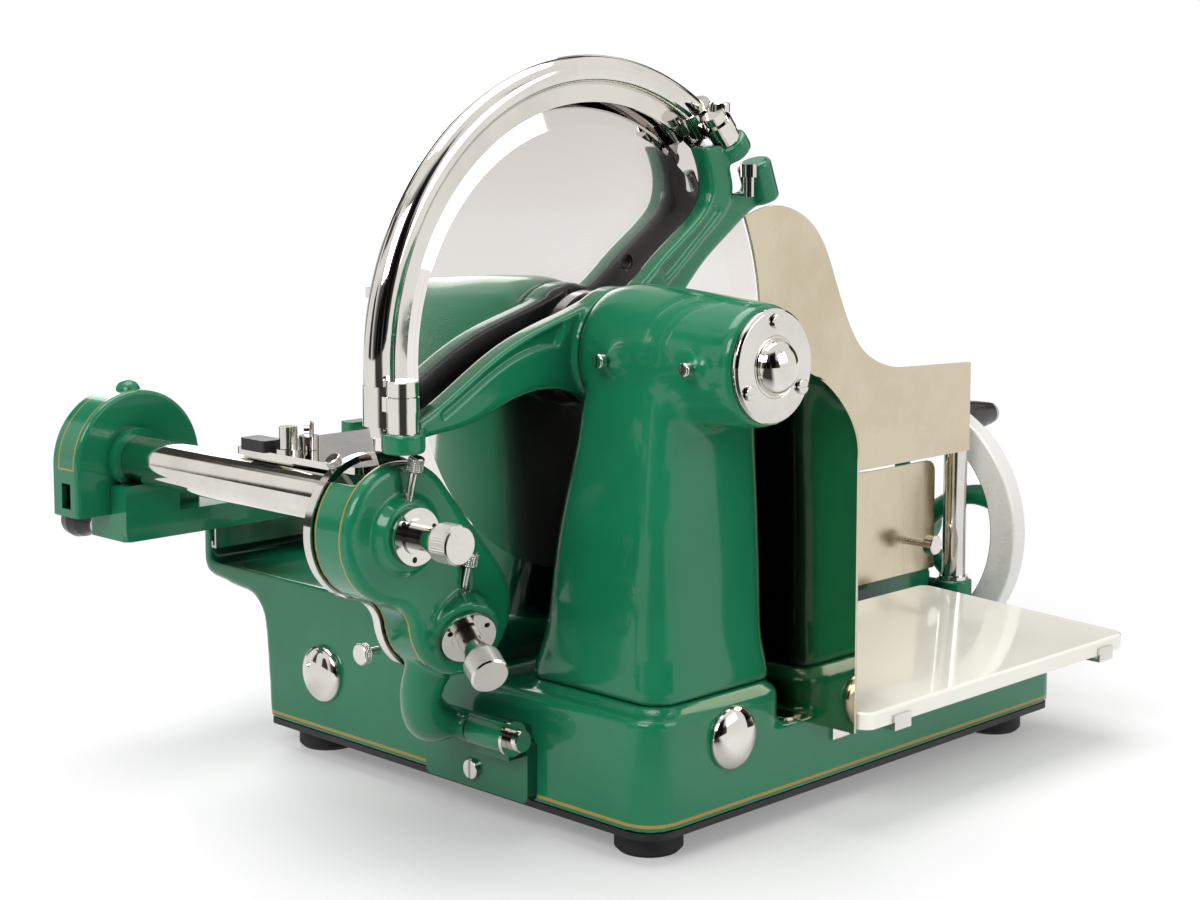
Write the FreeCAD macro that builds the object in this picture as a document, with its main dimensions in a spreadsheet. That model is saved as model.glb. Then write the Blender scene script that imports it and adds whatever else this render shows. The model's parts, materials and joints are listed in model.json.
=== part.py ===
import FreeCAD, Part
import math
import os
import re
import Sketcher

# Hand cranked meat slicer.  +Z is up, +X runs along the carriage stroke, and
# the operator stands on the +Y side.  Slices fall on the -Y side, onto the
# glass tray.  The machine is laid out about the point on the table under the
# centre of the blade; the exported frame starts under the front left foot.

os.makedirs("parts", exist_ok=True)
doc = FreeCAD.newDocument("meat_slicer")
V = FreeCAD.Vector

# ------------------------------------------------------------------ sizes
SIZES = {
    "axis_height": 280,         # blade axis above the table
    "blade_radius": 165,
    "blade_flat_radius": 133,
    "blade_dish": 7.6,          # flat disc lies this far behind the edge plane
    "blade_thickness": 3.2,
    "blade_hole": 5,
    "blade_hole_x": 34,
    "blade_hole_z": 49.4,
    "shaft_radius": 10,
    "hub_radius": 34,
    "hub_length": 9,
    "running_gap": 0.05,        # radial clearance of shafts in their bushes
    "seat_gap": 0.3,            # between pieces of different bodies
    "foot_height": 15,
    "foot_x": -34,              # the foot that carries the frame's origin
    "foot_y": -91,
    "foot_radius": 20,
    "floor_plate": 4,
    "wall": 6,                  # castings
    "base_left": -64,
    "base_front": -121,
    "base_back": 303,
    "platform_right": 56,
    "platform_top": 84,
    "apron_right": 338,
    "apron_top": 61,
    "bed_front": 24,
    "bed_right": 395,
    "bed_top": 115,
    "bed_back": 230,            # the lower body's back, under the shelf
    "shelf_low": 101,           # underside of the shelf behind the rail
    "rail_wall_top": 138,
    "rail_wall_thickness": 10,
    "base_corner": 20,
    "column_half_width": 47,
    "column_base": 88,
    "head_radius": 40,
    "head_front": -37,
    "head_end": -150,
    "bearing_radius": 24,
    "bearing_width": 15,
    "cap_radius": 32.4,
    "cap_screw_circle": 25.5,
    "guard_radius": 165,
    "guard_tube": 8.7,
    "guard_plane": -12.5,
    "guard_start": 52,
    "guard_end": 192,
    "arm_plane": -27,
    "arm_depth": 14,
    "lower_boss_x": -163,
    "lower_boss_z": -38,         # bosses are measured from the blade axis
    "upper_boss_x": 99.7,
    "upper_boss_z": 122.9,
    "upper_boss_tilt": 41,
    "boss_radius": 12,
    "deflector_x": 65,
    "sheet": 2,                 # polished sheet plates
    "tray_left": 69,
    "tray_right": 354,
    "tray_front": -167,
    "tray_depth": 168,
    "tray_thickness": 10,
    "tray_height": 62,          # underside at the front edge
    "tray_tilt": 2.5,
    "gauge_front": 2,           # front face of the gauge plate
    "gauge_relief": 171,        # radius of the hollow beside the blade
    "gauge_right": 411,
    "gauge_bottom": 171,
    "post_radius": 8.75,
    "post_x": 408,
    "post_y": 12,
    "post_top": 207,
    "splash_top": 163.5,
    "wheel_radius": 101,
    "wheel_rim": 21,
    "wheel_face": 430,
    "wheel_width": 16,
    "wheel_y": 75,
    "wheel_z": 105,
    "wheel_hub": 20,
    "handle_circle": 74,
    "grip_length": 92,
    "grip_radius": 14,
    "drive_radius": 9,
    "drive_gear": 32,           # pitch radius
    "counter_gear": 16,
    "gear_width": 14,
    "bevel_large": 24,
    "bevel_small": 16,
    "lower_sprocket": 20,
    "upper_sprocket": 16,
    "chain_plane": -70,
    "chain_depth": 6,
    "rail_radius": 8,
    "rail_y": 150,
    "rail_z": 130,
    "tube_x": -153.4,
    "tube_z": 201.7,
    "tube_radius": 15,
    "tube_wall": 2.5,
    "tube_front": 42,
    "cover_y": 245,
    "cover_depth": 25,
    "deck_low": 141,
    "deck_top": 149.5,
    "deck_lip": 152,
    "cover_radius": 46,
    "cover_low": 168,
    "screw_radius": 6,
    "table_left": -157,
    "table_right": 84,
    "table_front": 18,
    "table_back": 133,
    "table_top": 222,
    "table_sheet": 4,
    "hinge_x": -82,
    "hinge_z": 61,
    "hinge_front": -27,
    "hinge_split": 3,
    "hinge_back": 38,
    "knuckle_radius": 9.5,
    "hinge_pin": 5,
    "stone_x": -156,
    "stone_z": 190,
    "bevel_stone_x": -111,
    "bevel_stone_z": 139,
    "lobe_upper": 40,
    "lobe_lower": 37,
    "housing_back": 8,
    "swing_limit": 6,
    "stone_radius": 13,
    "stone_tilt": 31,
    "flange_radius": 16,
    "knob_radius": 11,
}

sheet = doc.addObject("Spreadsheet::Sheet", "Sheet")
for row, (alias, number) in enumerate(SIZES.items(), start=1):
    sheet.set("A%d" % row, alias)
    sheet.set("B%d" % row, str(number))
    sheet.setAlias("B%d" % row, alias)
doc.recompute()


def size(alias):
    """The number in the sheet under this alias."""
    return float(sheet.get(alias))


def linked(expression):
    """An expression over aliases, as FreeCAD wants it."""
    return re.sub(r"[a-z][a-z_]+", lambda m: m.group(0) if m.group(0) in
                  ("sin", "cos", "tan", "deg") else "Sheet." + m.group(0), expression)


# ---------------------------------------------------------------- helpers
TURN = {
    "X": FreeCAD.Rotation(V(0, 1, 0), 90),
    "-X": FreeCAD.Rotation(V(0, 1, 0), -90),
    "Y": FreeCAD.Rotation(V(1, 0, 0), -90),
    "-Y": FreeCAD.Rotation(V(1, 0, 0), 90),
    "Z": FreeCAD.Rotation(),
    "-Z": FreeCAD.Rotation(V(1, 0, 0), 180),
    "side": FreeCAD.Rotation(V(0, 1, 0), V(0, 0, 1), V(1, 0, 0), "XYZ"),
}
DIRECTION = {"X": V(1, 0, 0), "Y": V(0, 1, 0), "Z": V(0, 0, 1)}
nodes = []


def place(item, where, turn):
    """Bind the base point to expressions and turn local Z to the named axis."""
    item.Placement = FreeCAD.Placement(V(0, 0, 0), TURN[turn])
    for axis, expression in zip("xyz", where):
        item.setExpression("Placement.Base." + axis, linked(expression))


def plane(body, role):
    return [part for part in body.Origin.OriginFeatures if part.Role == role][0]


def outline(body, role, points):
    """A closed sketch whose every corner is dimensioned from the origin."""
    sketch = body.newObject("Sketcher::SketchObject", body.Label + "_outline")
    sketch.AttachmentSupport = (plane(body, role), [""])
    sketch.MapMode = "FlatFace"
    count = len(points)
    spread = [V(50 + 40 * math.cos(2 * math.pi * i / count),
                50 + 40 * math.sin(2 * math.pi * i / count), 0) for i in range(count)]
    for i in range(count):
        sketch.addGeometry(Part.LineSegment(spread[i], spread[(i + 1) % count]), False)
    for i in range(count):
        sketch.addConstraint(Sketcher.Constraint("Coincident", i, 2, (i + 1) % count, 1))
    for i, corner in enumerate(points):
        for kind, expression in zip(("DistanceX", "DistanceY"), corner):
            start = spread[i].x if kind == "DistanceX" else spread[i].y
            row = sketch.addConstraint(Sketcher.Constraint(kind, -1, 1, i, 1, start))
            sketch.setExpression("Constraints[%d]" % row, linked(expression))
    return sketch


def new_body(label):
    body = doc.addObject("PartDesign::Body", label)
    doc.recompute()
    nodes.append(body)
    return body


def turned(label, profile, where, turn):
    """A body of revolution: profile corners are (radius, distance along axis)."""
    body = new_body(label)
    sketch = outline(body, "XZ_Plane", profile)
    turning = body.newObject("PartDesign::Revolution", label + "_turning")
    turning.Profile = sketch
    turning.ReferenceAxis = (sketch, ["V_Axis"])
    turning.Angle = 360
    place(body, where, turn)
    return body


def drilled(body, centre, radius):
    """A hole through a turned body, parallel to its axis."""
    sketch = body.newObject("Sketcher::SketchObject", body.Label + "_hole")
    sketch.AttachmentSupport = (plane(body, "XY_Plane"), [""])
    sketch.MapMode = "FlatFace"
    sketch.addGeometry(Part.Circle(V(5, 5, 0), V(0, 0, 1), 1), False)
    for kind, expression in zip(("DistanceX", "DistanceY"), centre):
        row = sketch.addConstraint(Sketcher.Constraint(kind, -1, 1, 0, 3, 5))
        sketch.setExpression("Constraints[%d]" % row, linked(expression))
    row = sketch.addConstraint(Sketcher.Constraint("Radius", 0, 1))
    sketch.setExpression("Constraints[%d]" % row, linked(radius))
    pocket = body.newObject("PartDesign::Pocket", body.Label + "_drilling")
    pocket.Profile = sketch
    pocket.Type = "ThroughAll"
    pocket.Midplane = True


def washer_profile(inner, outer, length):
    return [(inner, "0"), (outer, "0"), (outer, length), (inner, length)]


def solid(label, shape):
    """A piece whose form needs code rather than one profile."""
    item = doc.addObject("Part::Feature", label)
    item.Shape = shape
    nodes.append(item)
    return item


def box(x0, x1, y0, y1, z0, z1):
    return Part.makeBox(x1 - x0, y1 - y0, z1 - z0, V(x0, y0, z0))


def soft_box(x0, x1, y0, y1, z0, z1, radius, along="Z"):
    """A box whose four edges along one axis are rounded."""
    block = box(x0, x1, y0, y1, z0, z1)
    edges = []
    for edge in block.Edges:
        run = edge.Vertexes[1].Point - edge.Vertexes[0].Point
        if abs(abs(run.normalize().dot(DIRECTION[along])) - 1) < 1e-6:
            edges.append(edge)
    return block.makeFillet(radius, edges)


def rod(axis, x, y, z, radius, length):
    """A round bar from a start point along +X, +Y or +Z."""
    return Part.makeCylinder(radius, length, V(x, y, z), DIRECTION[axis])


def tube(axis, x, y, z, outer, inner, length):
    return rod(axis, x, y, z, outer, length).cut(rod(axis, x, y, z, inner, length))


def extruded(points, normal, depth):
    """A prism from world points that all lie in one plane."""
    wire = Part.makePolygon([V(*p) for p in points] + [V(*points[0])])
    return Part.Face(wire).extrude(normal * depth)


def rounded_rectangle(x0, x1, y0, y1, z, radii):
    """A closed wire at height z; radii go round from the +X +Y corner."""
    arcs = []
    corners = ((x1, y1, -1, -1), (x0, y1, 1, -1), (x0, y0, 1, 1), (x1, y0, -1, 1))
    for i, (x, y, inward_x, inward_y) in enumerate(corners):
        middle = V(x + inward_x * radii[i], y + inward_y * radii[i], z)
        arcs.append(Part.ArcOfCircle(Part.Circle(middle, V(0, 0, 1), radii[i]),
                                     math.radians(90 * i), math.radians(90 * i + 90)))
    edges = []
    for i, arc in enumerate(arcs):
        follower = arcs[(i + 1) % 4]
        edges.append(arc.toShape())
        edges.append(Part.LineSegment(arc.EndPoint, follower.StartPoint).toShape())
    return Part.Wire(edges)


def limb(stations):
    """A cast arm through oval sections: (centre, across, thick, heading degrees).

    The arm lies in an XZ plane; heading is its direction in that plane.
    """
    wires = []
    for centre, across, thick, heading in stations:
        angle = math.radians(heading)
        side = V(-math.sin(angle), 0, math.cos(angle))
        oval = Part.Ellipse(V(0, 0, 0), max(across, thick), min(across, thick)).toShape()
        if across >= thick:
            turn = FreeCAD.Rotation(side, V(0, 1, 0), V(), "XYZ")
        else:
            turn = FreeCAD.Rotation(V(0, 1, 0), side, V(), "XYZ")
        oval.Placement = FreeCAD.Placement(V(*centre), turn)
        wires.append(Part.Wire([oval]))
    return Part.makeLoft(wires, True, False)


def slotted_screw(x, y, z, axis, radius, head, slot=1.2):
    """A cheese-head screw; its head stands out along the signed axis."""
    sign = -1 if axis[0] == "-" else 1
    way = DIRECTION[axis[-1]] * sign
    top = Part.makeCylinder(radius, head, V(x, y, z), way)
    crown = top.Edges
    top = top.makeFillet(0.25 * head, [e for e in crown if e.Closed and
                                       (e.CenterOfMass - V(x, y, z)).dot(way) > head / 2])
    middle = V(x, y, z) + way * head
    spin = FreeCAD.Rotation(V(0, 0, 1), way)
    bar = Part.makeBox(3 * radius, slot, slot, V(-1.5 * radius, -slot / 2, -slot))
    bar.Placement = FreeCAD.Placement(middle, spin)
    return top.cut(bar)


def knurled_head(x, y, z, axis, radius, length):
    """A thumbscrew's round head with chamfered rims."""
    sign = -1 if axis[0] == "-" else 1
    way = DIRECTION[axis[-1]] * sign
    bar = Part.makeCylinder(radius, length, V(x, y, z), way)
    rims = [e for e in bar.Edges if e.Closed]
    return bar.makeChamfer(0.08 * radius, rims)


# Every size that code-built pieces need, read once from the sheet.
axis_z = size("axis_height")
gap = size("seat_gap")
run_gap = size("running_gap")
wall = size("wall")
floor_z = size("foot_height")
base_z = floor_z + size("floor_plate")
left = size("base_left")
front = size("base_front")
back = size("base_back")
bed_top = size("bed_top")
bed_right = size("bed_right")
wheel_y = size("wheel_y")
wheel_z = size("wheel_z")
drive_r = size("drive_radius")
counter_z = wheel_z - size("drive_gear") - size("counter_gear")
counter_r = 8
gear_x = 330
chain_y = size("chain_plane")
shaft_r = size("shaft_radius")


# ------------------------------------------------------------- base group
def bed_profile(inset):
    """The bed's cross-section: a lower body that flares back to a shelf."""
    bed_y = size("bed_front") + inset
    bed_back = size("bed_back") - inset
    shelf = size("shelf_low")
    top = bed_top - inset
    waist = [(bed_back, base_z), (bed_back + 3, 64), (bed_back + 5, 82)]
    if inset:
        points = [(bed_y, base_z)] + waist + [(bed_back + 6, top), (bed_y, top)]
        return Part.makePolygon([V(0, y, z) for y, z in points + points[:1]])
    flare = Part.Arc(V(0, *waist[-1]), V(0, bed_back + 11.5, 94), V(0, bed_back + 29, shelf - 1))
    round_off = Part.Arc(V(0, back - 9, shelf + 4), V(0, back - 3, shelf + 7), V(0, back, bed_top))
    lip_y = back - size("rail_wall_thickness")
    lip_top = size("rail_wall_top")
    straight = [(bed_y, top), (bed_y, base_z)] + waist
    edges = [Part.makeLine(V(0, *straight[i]), V(0, *straight[i + 1])) for i in range(4)]
    edges += [flare.toShape(), Part.makeLine(flare.EndPoint, round_off.StartPoint),
              round_off.toShape()]
    lip = [(back, bed_top), (back, lip_top), (lip_y, lip_top), (lip_y, bed_top), (bed_y, bed_top)]
    edges += [Part.makeLine(V(0, *lip[i]), V(0, *lip[i + 1])) for i in range(4)]
    return Part.Wire(edges)


def base_body(inset, low):
    """The outside of the base casting, or its hollow when inset is a wall."""
    radius = size("base_corner") - inset
    top = inset
    body = soft_box(left + inset, size("platform_right") - inset, front + inset, 60 - inset,
                    low, size("platform_top") - top, radius)
    apron = soft_box(left + 2 * radius, size("apron_right") - inset, front + inset, 60 - inset,
                     low, size("apron_top") - top, 10)
    bed = Part.Face(bed_profile(inset)).extrude(V(bed_right - left - 2 * inset, 0, 0))
    bed.translate(V(left + inset, 0, 0))
    if not inset:
        rims = [e for e in body.Edges if abs(e.CenterOfMass.z - size("platform_top")) < 0.01]
        body = body.makeFillet(4, rims)
        ends = [e for e in bed.Edges if e.CenterOfMass.y > size("bed_back")
                and min(abs(e.CenterOfMass.x - left), abs(e.CenterOfMass.x - bed_right)) < 0.01
                and e.CenterOfMass.z < bed_top + 9 and e.CenterOfMass.y < back + 1]
        bed = bed.makeFillet(4, ends)
    hump = rod("X", 296 + inset, wheel_y, wheel_z, 44 - inset, bed_right - 296 - 2 * inset)
    return body.fuse([apron, bed, hump]).removeSplitter()


casting = base_body(0, base_z).cut(base_body(wall, base_z))
plinth = soft_box(-53, 53, -115.5, -3, size("platform_top") - wall, size("column_base"), 20)
plinth = plinth.makeFillet(2, [e for e in plinth.Edges
                               if abs(e.CenterOfMass.z - size("column_base")) < 0.01])
boss = rod("X", bed_right - wall, wheel_y, wheel_z, 24, 33)
lugs = [
    box(28, 36, wheel_y - 15, wheel_y + 15, 40, bed_top - 1),
    box(352, 360, wheel_y - 15, wheel_y + 15, 40, 142),
    box(312, 320, wheel_y - 15, wheel_y + 15, 86, 142),
    box(-15, 15, -52, -44, 40, size("platform_top") - 1),
    box(-15, 15, 34, 42, 40, bed_top - 1),
]
pedestals = [soft_box(x, x + 20, size("rail_y") - 12, size("rail_y") + 12, bed_top - 1,
                      size("rail_z") + 9, 4) for x in (left + 10, bed_right - 26)]
casting = casting.fuse([plinth, boss] + lugs + pedestals)
casting = casting.cut([
    soft_box(-31, 31, -92, -48, size("platform_top") - 2 * wall, size("column_base") + 1, 6),
    rod("X", bed_right - 2 * wall, wheel_y, wheel_z, 14, 45),
    rod("X", 305, wheel_y, wheel_z, drive_r + run_gap, 60),
    rod("X", 20, wheel_y, counter_z, counter_r + run_gap, 350),
    rod("Y", 0, -60, counter_z, counter_r + run_gap, 110),
    rod("X", left + 10, size("rail_y"), size("rail_z"), size("rail_radius") + run_gap, 450),
])
solid("base_casting", casting)

plate_shape = soft_box(left + 1, size("platform_right"), front + 1, 60, floor_z, base_z, 19)
plate_shape = plate_shape.fuse([
    soft_box(left + 40, size("apron_right") - 1, front + 1, 60, floor_z, base_z, 9),
    soft_box(left + 1, bed_right - 1, size("bed_front") + 1, size("bed_back") - 1, floor_z,
             base_z, 4),
]).removeSplitter()
solid("bottom_plate", plate_shape)

FOOT_PLACES = ((size("foot_x"), size("foot_y")), (308, size("foot_y")), (365, 203),
               (size("foot_x"), 203))
foot_r = size("foot_radius")
foot_h = size("foot_height")
feet = []
for fx, fy in FOOT_PLACES:
    pad = Part.makeCylinder(foot_r, foot_h, V(fx, fy, 0))
    feet.append(pad.makeChamfer(2.5, [e for e in pad.Edges if e.Closed]))
solid("rubber_feet", Part.makeCompound(feet))

# Domed nickel covers of the two oil ports.
DOME = [(0, 0), (18.6, 0), (18.6, 1.5), (17.6, 3), (15, 5), (11.5, 6.6), (7, 7.8), (0, 8.4)]


def dome_cover(x, y, z, turn):
    profile = Part.makePolygon([V(r, 0, h) for r, h in DOME + DOME[:1]])
    shape = Part.Face(profile).revolve(V(0, 0, 0), V(0, 0, 1), 360)
    shape.Placement = FreeCAD.Placement(V(x, y, z), TURN[turn])
    return shape


side_cover = dome_cover(left, 170, 59.5, "-X").cut(rod("X", left - 12, 176, 66, 2, 7))
solid("oil_covers", Part.makeCompound([side_cover,
                                       dome_cover(3, front, 63.5, "-Y")]))

# ------------------------------------------------------------ column and head
half = size("column_half_width")
# Height, left, right, front and back of the column, then its corner radii
# (back right, back left, front left, front right); front is the -Y side.
COLUMN = (
    (88, -51.8, 51.8, -114.3, -4.2, (14, 18, 20, 14)),
    (96, -51.5, 51.5, -114, -4.5, (14, 18, 20, 14)),
    (108, -49.5, 50, -112, -8, (14, 18, 20, 14)),
    (140, -48, 48.5, -110.5, -15, (14, 17, 18, 14)),
    (182, -46, 47.5, -109, -22, (13, 15, 16, 13)),
    (236, -41.5, 47, -107, -34, (12, 13, 14, 12)),
    (262, -39.2, 44, -106, -38.5, (12, 12, 13, 12)),
    (281, -37, 38, -103, -41, (12, 12, 12, 12)),
)


def column_sections(inset):
    """Round-cornered sections from foot to head, or of the hollow inside."""
    wires = []
    for height, x0, x1, y0, y1, radii in COLUMN:
        wires.append(rounded_rectangle(x0 + inset, x1 - inset, y0 + inset, y1 - inset, height,
                                       [radius - 0.6 * inset for radius in radii]))
    return wires


column = Part.makeLoft(column_sections(0), True, False)
hollow = Part.makeLoft(column_sections(wall + 1)[:6], True, False)
hollow = hollow.fuse(soft_box(-34, 34, -92, -48, 85, 100, 6))
head_r = size("head_radius")
head_front = size("head_front")
head_end = size("head_end")
rim_points = [(head_r - 2, head_front), (head_r, head_front - 8), (head_r + 0.5, head_front - 26),
              (head_r - 1, -95), (head_r - 3.5, -125), (head_r - 5, head_end + 4)]
rim_curve = Part.BSplineCurve()
rim_curve.interpolate([V(r, y, axis_z) for r, y in rim_points])
end_points = [V(0, head_front, axis_z), V(rim_points[0][0], head_front, axis_z)]
tail = [V(rim_points[-1][0], rim_points[-1][1], axis_z), V(head_r - 7, head_end, axis_z),
        V(0, head_end, axis_z), V(0, head_front, axis_z)]
head_edges = [Part.makeLine(*end_points), rim_curve.toShape()]
head_edges += [Part.makeLine(tail[i], tail[i + 1]) for i in range(3)]
head = Part.Face(Part.Wire(head_edges)).revolve(V(0, 0, axis_z), V(0, 1, 0), 360)
stubs = [rod("X", -46, -65, axis_z, 5.5, 20), rod("X", -43, -128, axis_z, 5, 20)]
bearing_r = size("bearing_radius")
column_head = column.fuse([head] + stubs)
column_head = column_head.cut([
    hollow,
    rod("Y", 0, head_end - 5, axis_z, bearing_r + run_gap, head_front - 5 - head_end + 5),
    rod("Y", 0, head_end, axis_z, shaft_r + 3, 150),
    box(-23.5, 23.5, chain_y - 13, chain_y + 13, 235, axis_z),
    rod("Y", 0, head_front, axis_z, 39, 30),
    box(-half, half, head_front, 0, axis_z - 25, axis_z),
])
solid("column_head", column_head)

bearing_w = size("bearing_width")
bearings = [tube("Y", 0, y, axis_z, bearing_r, shaft_r + run_gap, bearing_w)
            for y in (head_front - 5 - bearing_w, head_end)]

cap_rows = [("0", "0"), ("cap_radius", "0"), ("cap_radius", "2.6"), ("cap_radius - 1.4", "4"),
            ("19.5", "4.6"), ("18", "4.6"), ("16.8", "3.8"), ("15.6", "4.4"), ("14", "7.6"),
            ("11", "10.9"), ("7.5", "13"), ("4", "14.1"), ("0", "14.5")]
turned("head_cap", cap_rows, ("0", "head_end", "axis_height"), "-Y")
screws = []
for angle in (90, 210, 330):
    reach = size("cap_screw_circle")
    screws.append(slotted_screw(reach * math.cos(math.radians(angle)), head_end - 4.6,
                                axis_z + reach * math.sin(math.radians(angle)),
                                "-Y", 4.2, 1.8))
screws += [slotted_screw(-46, -65, axis_z, "-X", 4.4, 4.5),
           slotted_screw(-43, -128, axis_z, "-X", 4, 4.5)]

# ------------------------------------------------------- guard and its spider
arm_y = size("arm_plane")
guard_y = size("guard_plane")
hub = tube("Y", 0, head_front, axis_z, 38, shaft_r + 2.5, 16)
hub = hub.makeFillet(5, [e for e in hub.Edges if e.Closed and e.CenterOfMass.y > head_front + 15
                         and abs(e.Curve.Radius - 38) < 0.1])
lower_x = size("lower_boss_x")
lower_z = axis_z + size("lower_boss_z")
upper_x = size("upper_boss_x")
upper_z = axis_z + size("upper_boss_z")
boss_r = size("boss_radius")
arm_d = size("arm_depth")
arm_front = arm_y - arm_d / 2


def cast_arm(upper, lower, y, depth, upper_round, lower_round):
    """A plate arm in the XZ plane between two curved edges with rounded rims."""
    edges = []
    for points in (upper, lower):
        curve = Part.BSplineCurve()
        curve.interpolate([V(x, y, axis_z + rise) for x, rise in points])
        edges.append(curve.toShape())
    for start_point, end_point in ((upper[0], lower[0]), (upper[-1], lower[-1])):
        edges.append(Part.makeLine(V(start_point[0], y, axis_z + start_point[1]),
                                   V(end_point[0], y, axis_z + end_point[1])))
    arm = Part.Face(Part.Wire(Part.__sortEdges__(edges))).extrude(V(0, depth, 0))
    for reference, radius in ((edges[0], upper_round), (edges[1], lower_round)):
        if radius:
            level = reference.CenterOfMass
            rims = [e for e in arm.Edges if e.Curve.TypeId == "Part::GeomBSplineCurve"
                    and math.hypot(e.CenterOfMass.x - level.x, e.CenterOfMass.z - level.z) < 1]
            arm = arm.makeFillet(radius, rims)
    return arm


# Each arm's edges as (x, height over the blade axis) corners, from the hub outwards.
LEFT_TOP = ((-5, 37.5), (-36.4, 25.7), (-71.4, 15.4), (-93.5, 6.2), (-115.2, -5.9),
            (-143.2, -21.9), (-158, -28))
LEFT_LOW = ((-15, -34), (-33.4, -23.1), (-51.9, -19.1), (-71.6, -20.1), (-93.8, -26.2),
            (-115.3, -33.2), (-143.4, -36.6), (-162, -40))
LEFT_GROOVE = (((-44, 19.5), (-71.4, 11.2), (-93.5, 2), (-115.2, -10), (-139, -23.4)),
               ((-50, 6), (-72, 4.5), (-95, -3.5), (-117, -15.5), (-138, -27.5)))
RIGHT_TOP = ((8, 32), (18.6, 37.7), (41.8, 55.1), (69.4, 74.3), (79.6, 85.2),
             (82.1, 93.7), (80.5, 105.7), (74.2, 118.6))
RIGHT_LOW = ((28, 18), (44, 36), (62, 50.5), (80, 65), (97, 79), (102.9, 93.3),
             (100.5, 104.5), (99, 113), (101, 121))
RIGHT_GROOVE = (((36, 47), (44.4, 51.4), (58, 61), (72, 70.6), (84, 83)),
                ((40, 39.5), (46, 43), (60, 54), (76, 67), (92, 81)))
SIDE_TOP = ((40, 42), (70, 68), (92, 86), (103, 90), (114.4, 89.5), (126, 96))
SIDE_LOW = ((32, -10), (48, 15), (65.2, 34.3), (79.9, 48.1), (100.6, 62.9), (120.5, 76.1),
            (134, 83))
left_arm = cast_arm(LEFT_TOP, LEFT_LOW, arm_front, arm_d, 3, 6)
right_arm = cast_arm(RIGHT_TOP, RIGHT_LOW, arm_front, arm_d, 3, 3)
side_arm = cast_arm(SIDE_TOP, SIDE_LOW, arm_front + 2, arm_d - 2, 0, 5)
grooves = [cast_arm(*LEFT_GROOVE, arm_front - 1, 3.5, 0, 0),
           cast_arm(*RIGHT_GROOVE, arm_front - 1, 3, 0, 0)]
lower_boss = rod("Z", lower_x, arm_y - 3, lower_z - 5.5, boss_r, 11)
upper_tilt = math.radians(size("upper_boss_tilt"))
upper_way = V(-math.sin(upper_tilt), 0, math.cos(upper_tilt))
upper_seat = V(upper_x, arm_y - 3, upper_z)
upper_boss = Part.makeCylinder(boss_r, 11, upper_seat - upper_way * 11, upper_way)
upper_boss = upper_boss.makeFillet(1.5, [e for e in upper_boss.Edges if e.Closed])
side_foot = V(134.5, arm_y - 3, axis_z + 84.5)
side_way = V(-9.7, 0, 24.8).normalize()
side_boss = Part.makeCylinder(boss_r - 1, 27, side_foot, side_way)
side_boss = side_boss.makeFillet(2.5, [e for e in side_boss.Edges if e.Closed])

guard_r = size("guard_radius")
guard_tube = size("guard_tube")
start = size("guard_start")
sweep = size("guard_end") - start


def guard_arc(profile):
    """Turn a profile about the blade axis over the guard's arc."""
    profile.rotate(V(0, 0, axis_z), V(0, 1, 0), -start)
    return profile.revolve(V(0, 0, axis_z), V(0, -1, 0), sweep)


ring = Part.Wire([Part.Circle(V(guard_r, guard_y, axis_z), V(0, 0, 1), guard_tube).toShape()])
ring = guard_arc(Part.Face(ring))
lip = Part.Face(Part.makePolygon([
    V(guard_r - 19, guard_y - 1, axis_z), V(guard_r, guard_y - 1, axis_z),
    V(guard_r, guard_y + 1, axis_z), V(guard_r - 19, guard_y + 1, axis_z),
    V(guard_r - 19, guard_y - 1, axis_z)]))
guard = ring.fuse(guard_arc(lip))

lug_y = arm_y - 3
lower_lug = rod("Z", lower_x + 1, guard_y, lower_z + 8, 11.5, 22)
lower_lug = lower_lug.fuse([box(lower_x - 7, lower_x + 8, lug_y, guard_y, lower_z + 17, lower_z + 25),
                            rod("Z", lower_x, lug_y, lower_z + 17, 9, 8)])
upper_link = upper_seat + upper_way * 11
upper_eye = Part.makeCylinder(9.5, 8, upper_seat + upper_way * 7, upper_way)
upper_end = V(guard_r * math.cos(math.radians(start + 4)), guard_y,
              axis_z + guard_r * math.sin(math.radians(start + 4)))
upper_lug = Part.makeCylinder(11.5, 16, upper_end - upper_way * 8, upper_way)
link = Part.makeBox(16, (upper_end - upper_link).Length, 8, V(-8, 0, -4))
link.Placement = FreeCAD.Placement(upper_link, FreeCAD.Rotation(
    V(), upper_end - upper_link, upper_way, "YZX"))
upper_lug = upper_lug.fuse([link, upper_eye])
blade_room = rod("Y", 0, -5.5, axis_z, 167, 20)
guard = guard.fuse([lower_lug.cut(blade_room), upper_lug.cut(blade_room)])
fittings = [rod("Z", lower_x, lug_y, lower_z + 5.5, 8.6, 11.5),
            Part.makeCylinder(9, 7, upper_seat, upper_way),
            knurled_head(lower_x, lug_y, lower_z + 25, "Z", 8.8, 9),
            slotted_screw(upper_link.x, lug_y, upper_link.z + 9, "Z", 6.5, 6, 1.6),
            Part.makeCylinder(7.5, 7, upper_seat + upper_way * 15, upper_way)]
pin_y = lug_y - 9
fittings.append(rod("Z", 110, pin_y, axis_z + 88, 3.5, 16).fuse(
    rod("Z", 110, pin_y, axis_z + 100, 5.2, 8)))
solid("guard_fasteners", Part.makeCompound(fittings))
guard = guard.cut(fittings)
solid("guard_ring", guard)
spider = hub.fuse([left_arm, right_arm, side_arm, lower_boss, upper_boss, side_boss])
bore = rod("Y", 0, head_front - 1, axis_z, shaft_r + 2.5, 20)
solid("guard_spider", spider.cut(grooves + fittings + [guard, bore]))

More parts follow.
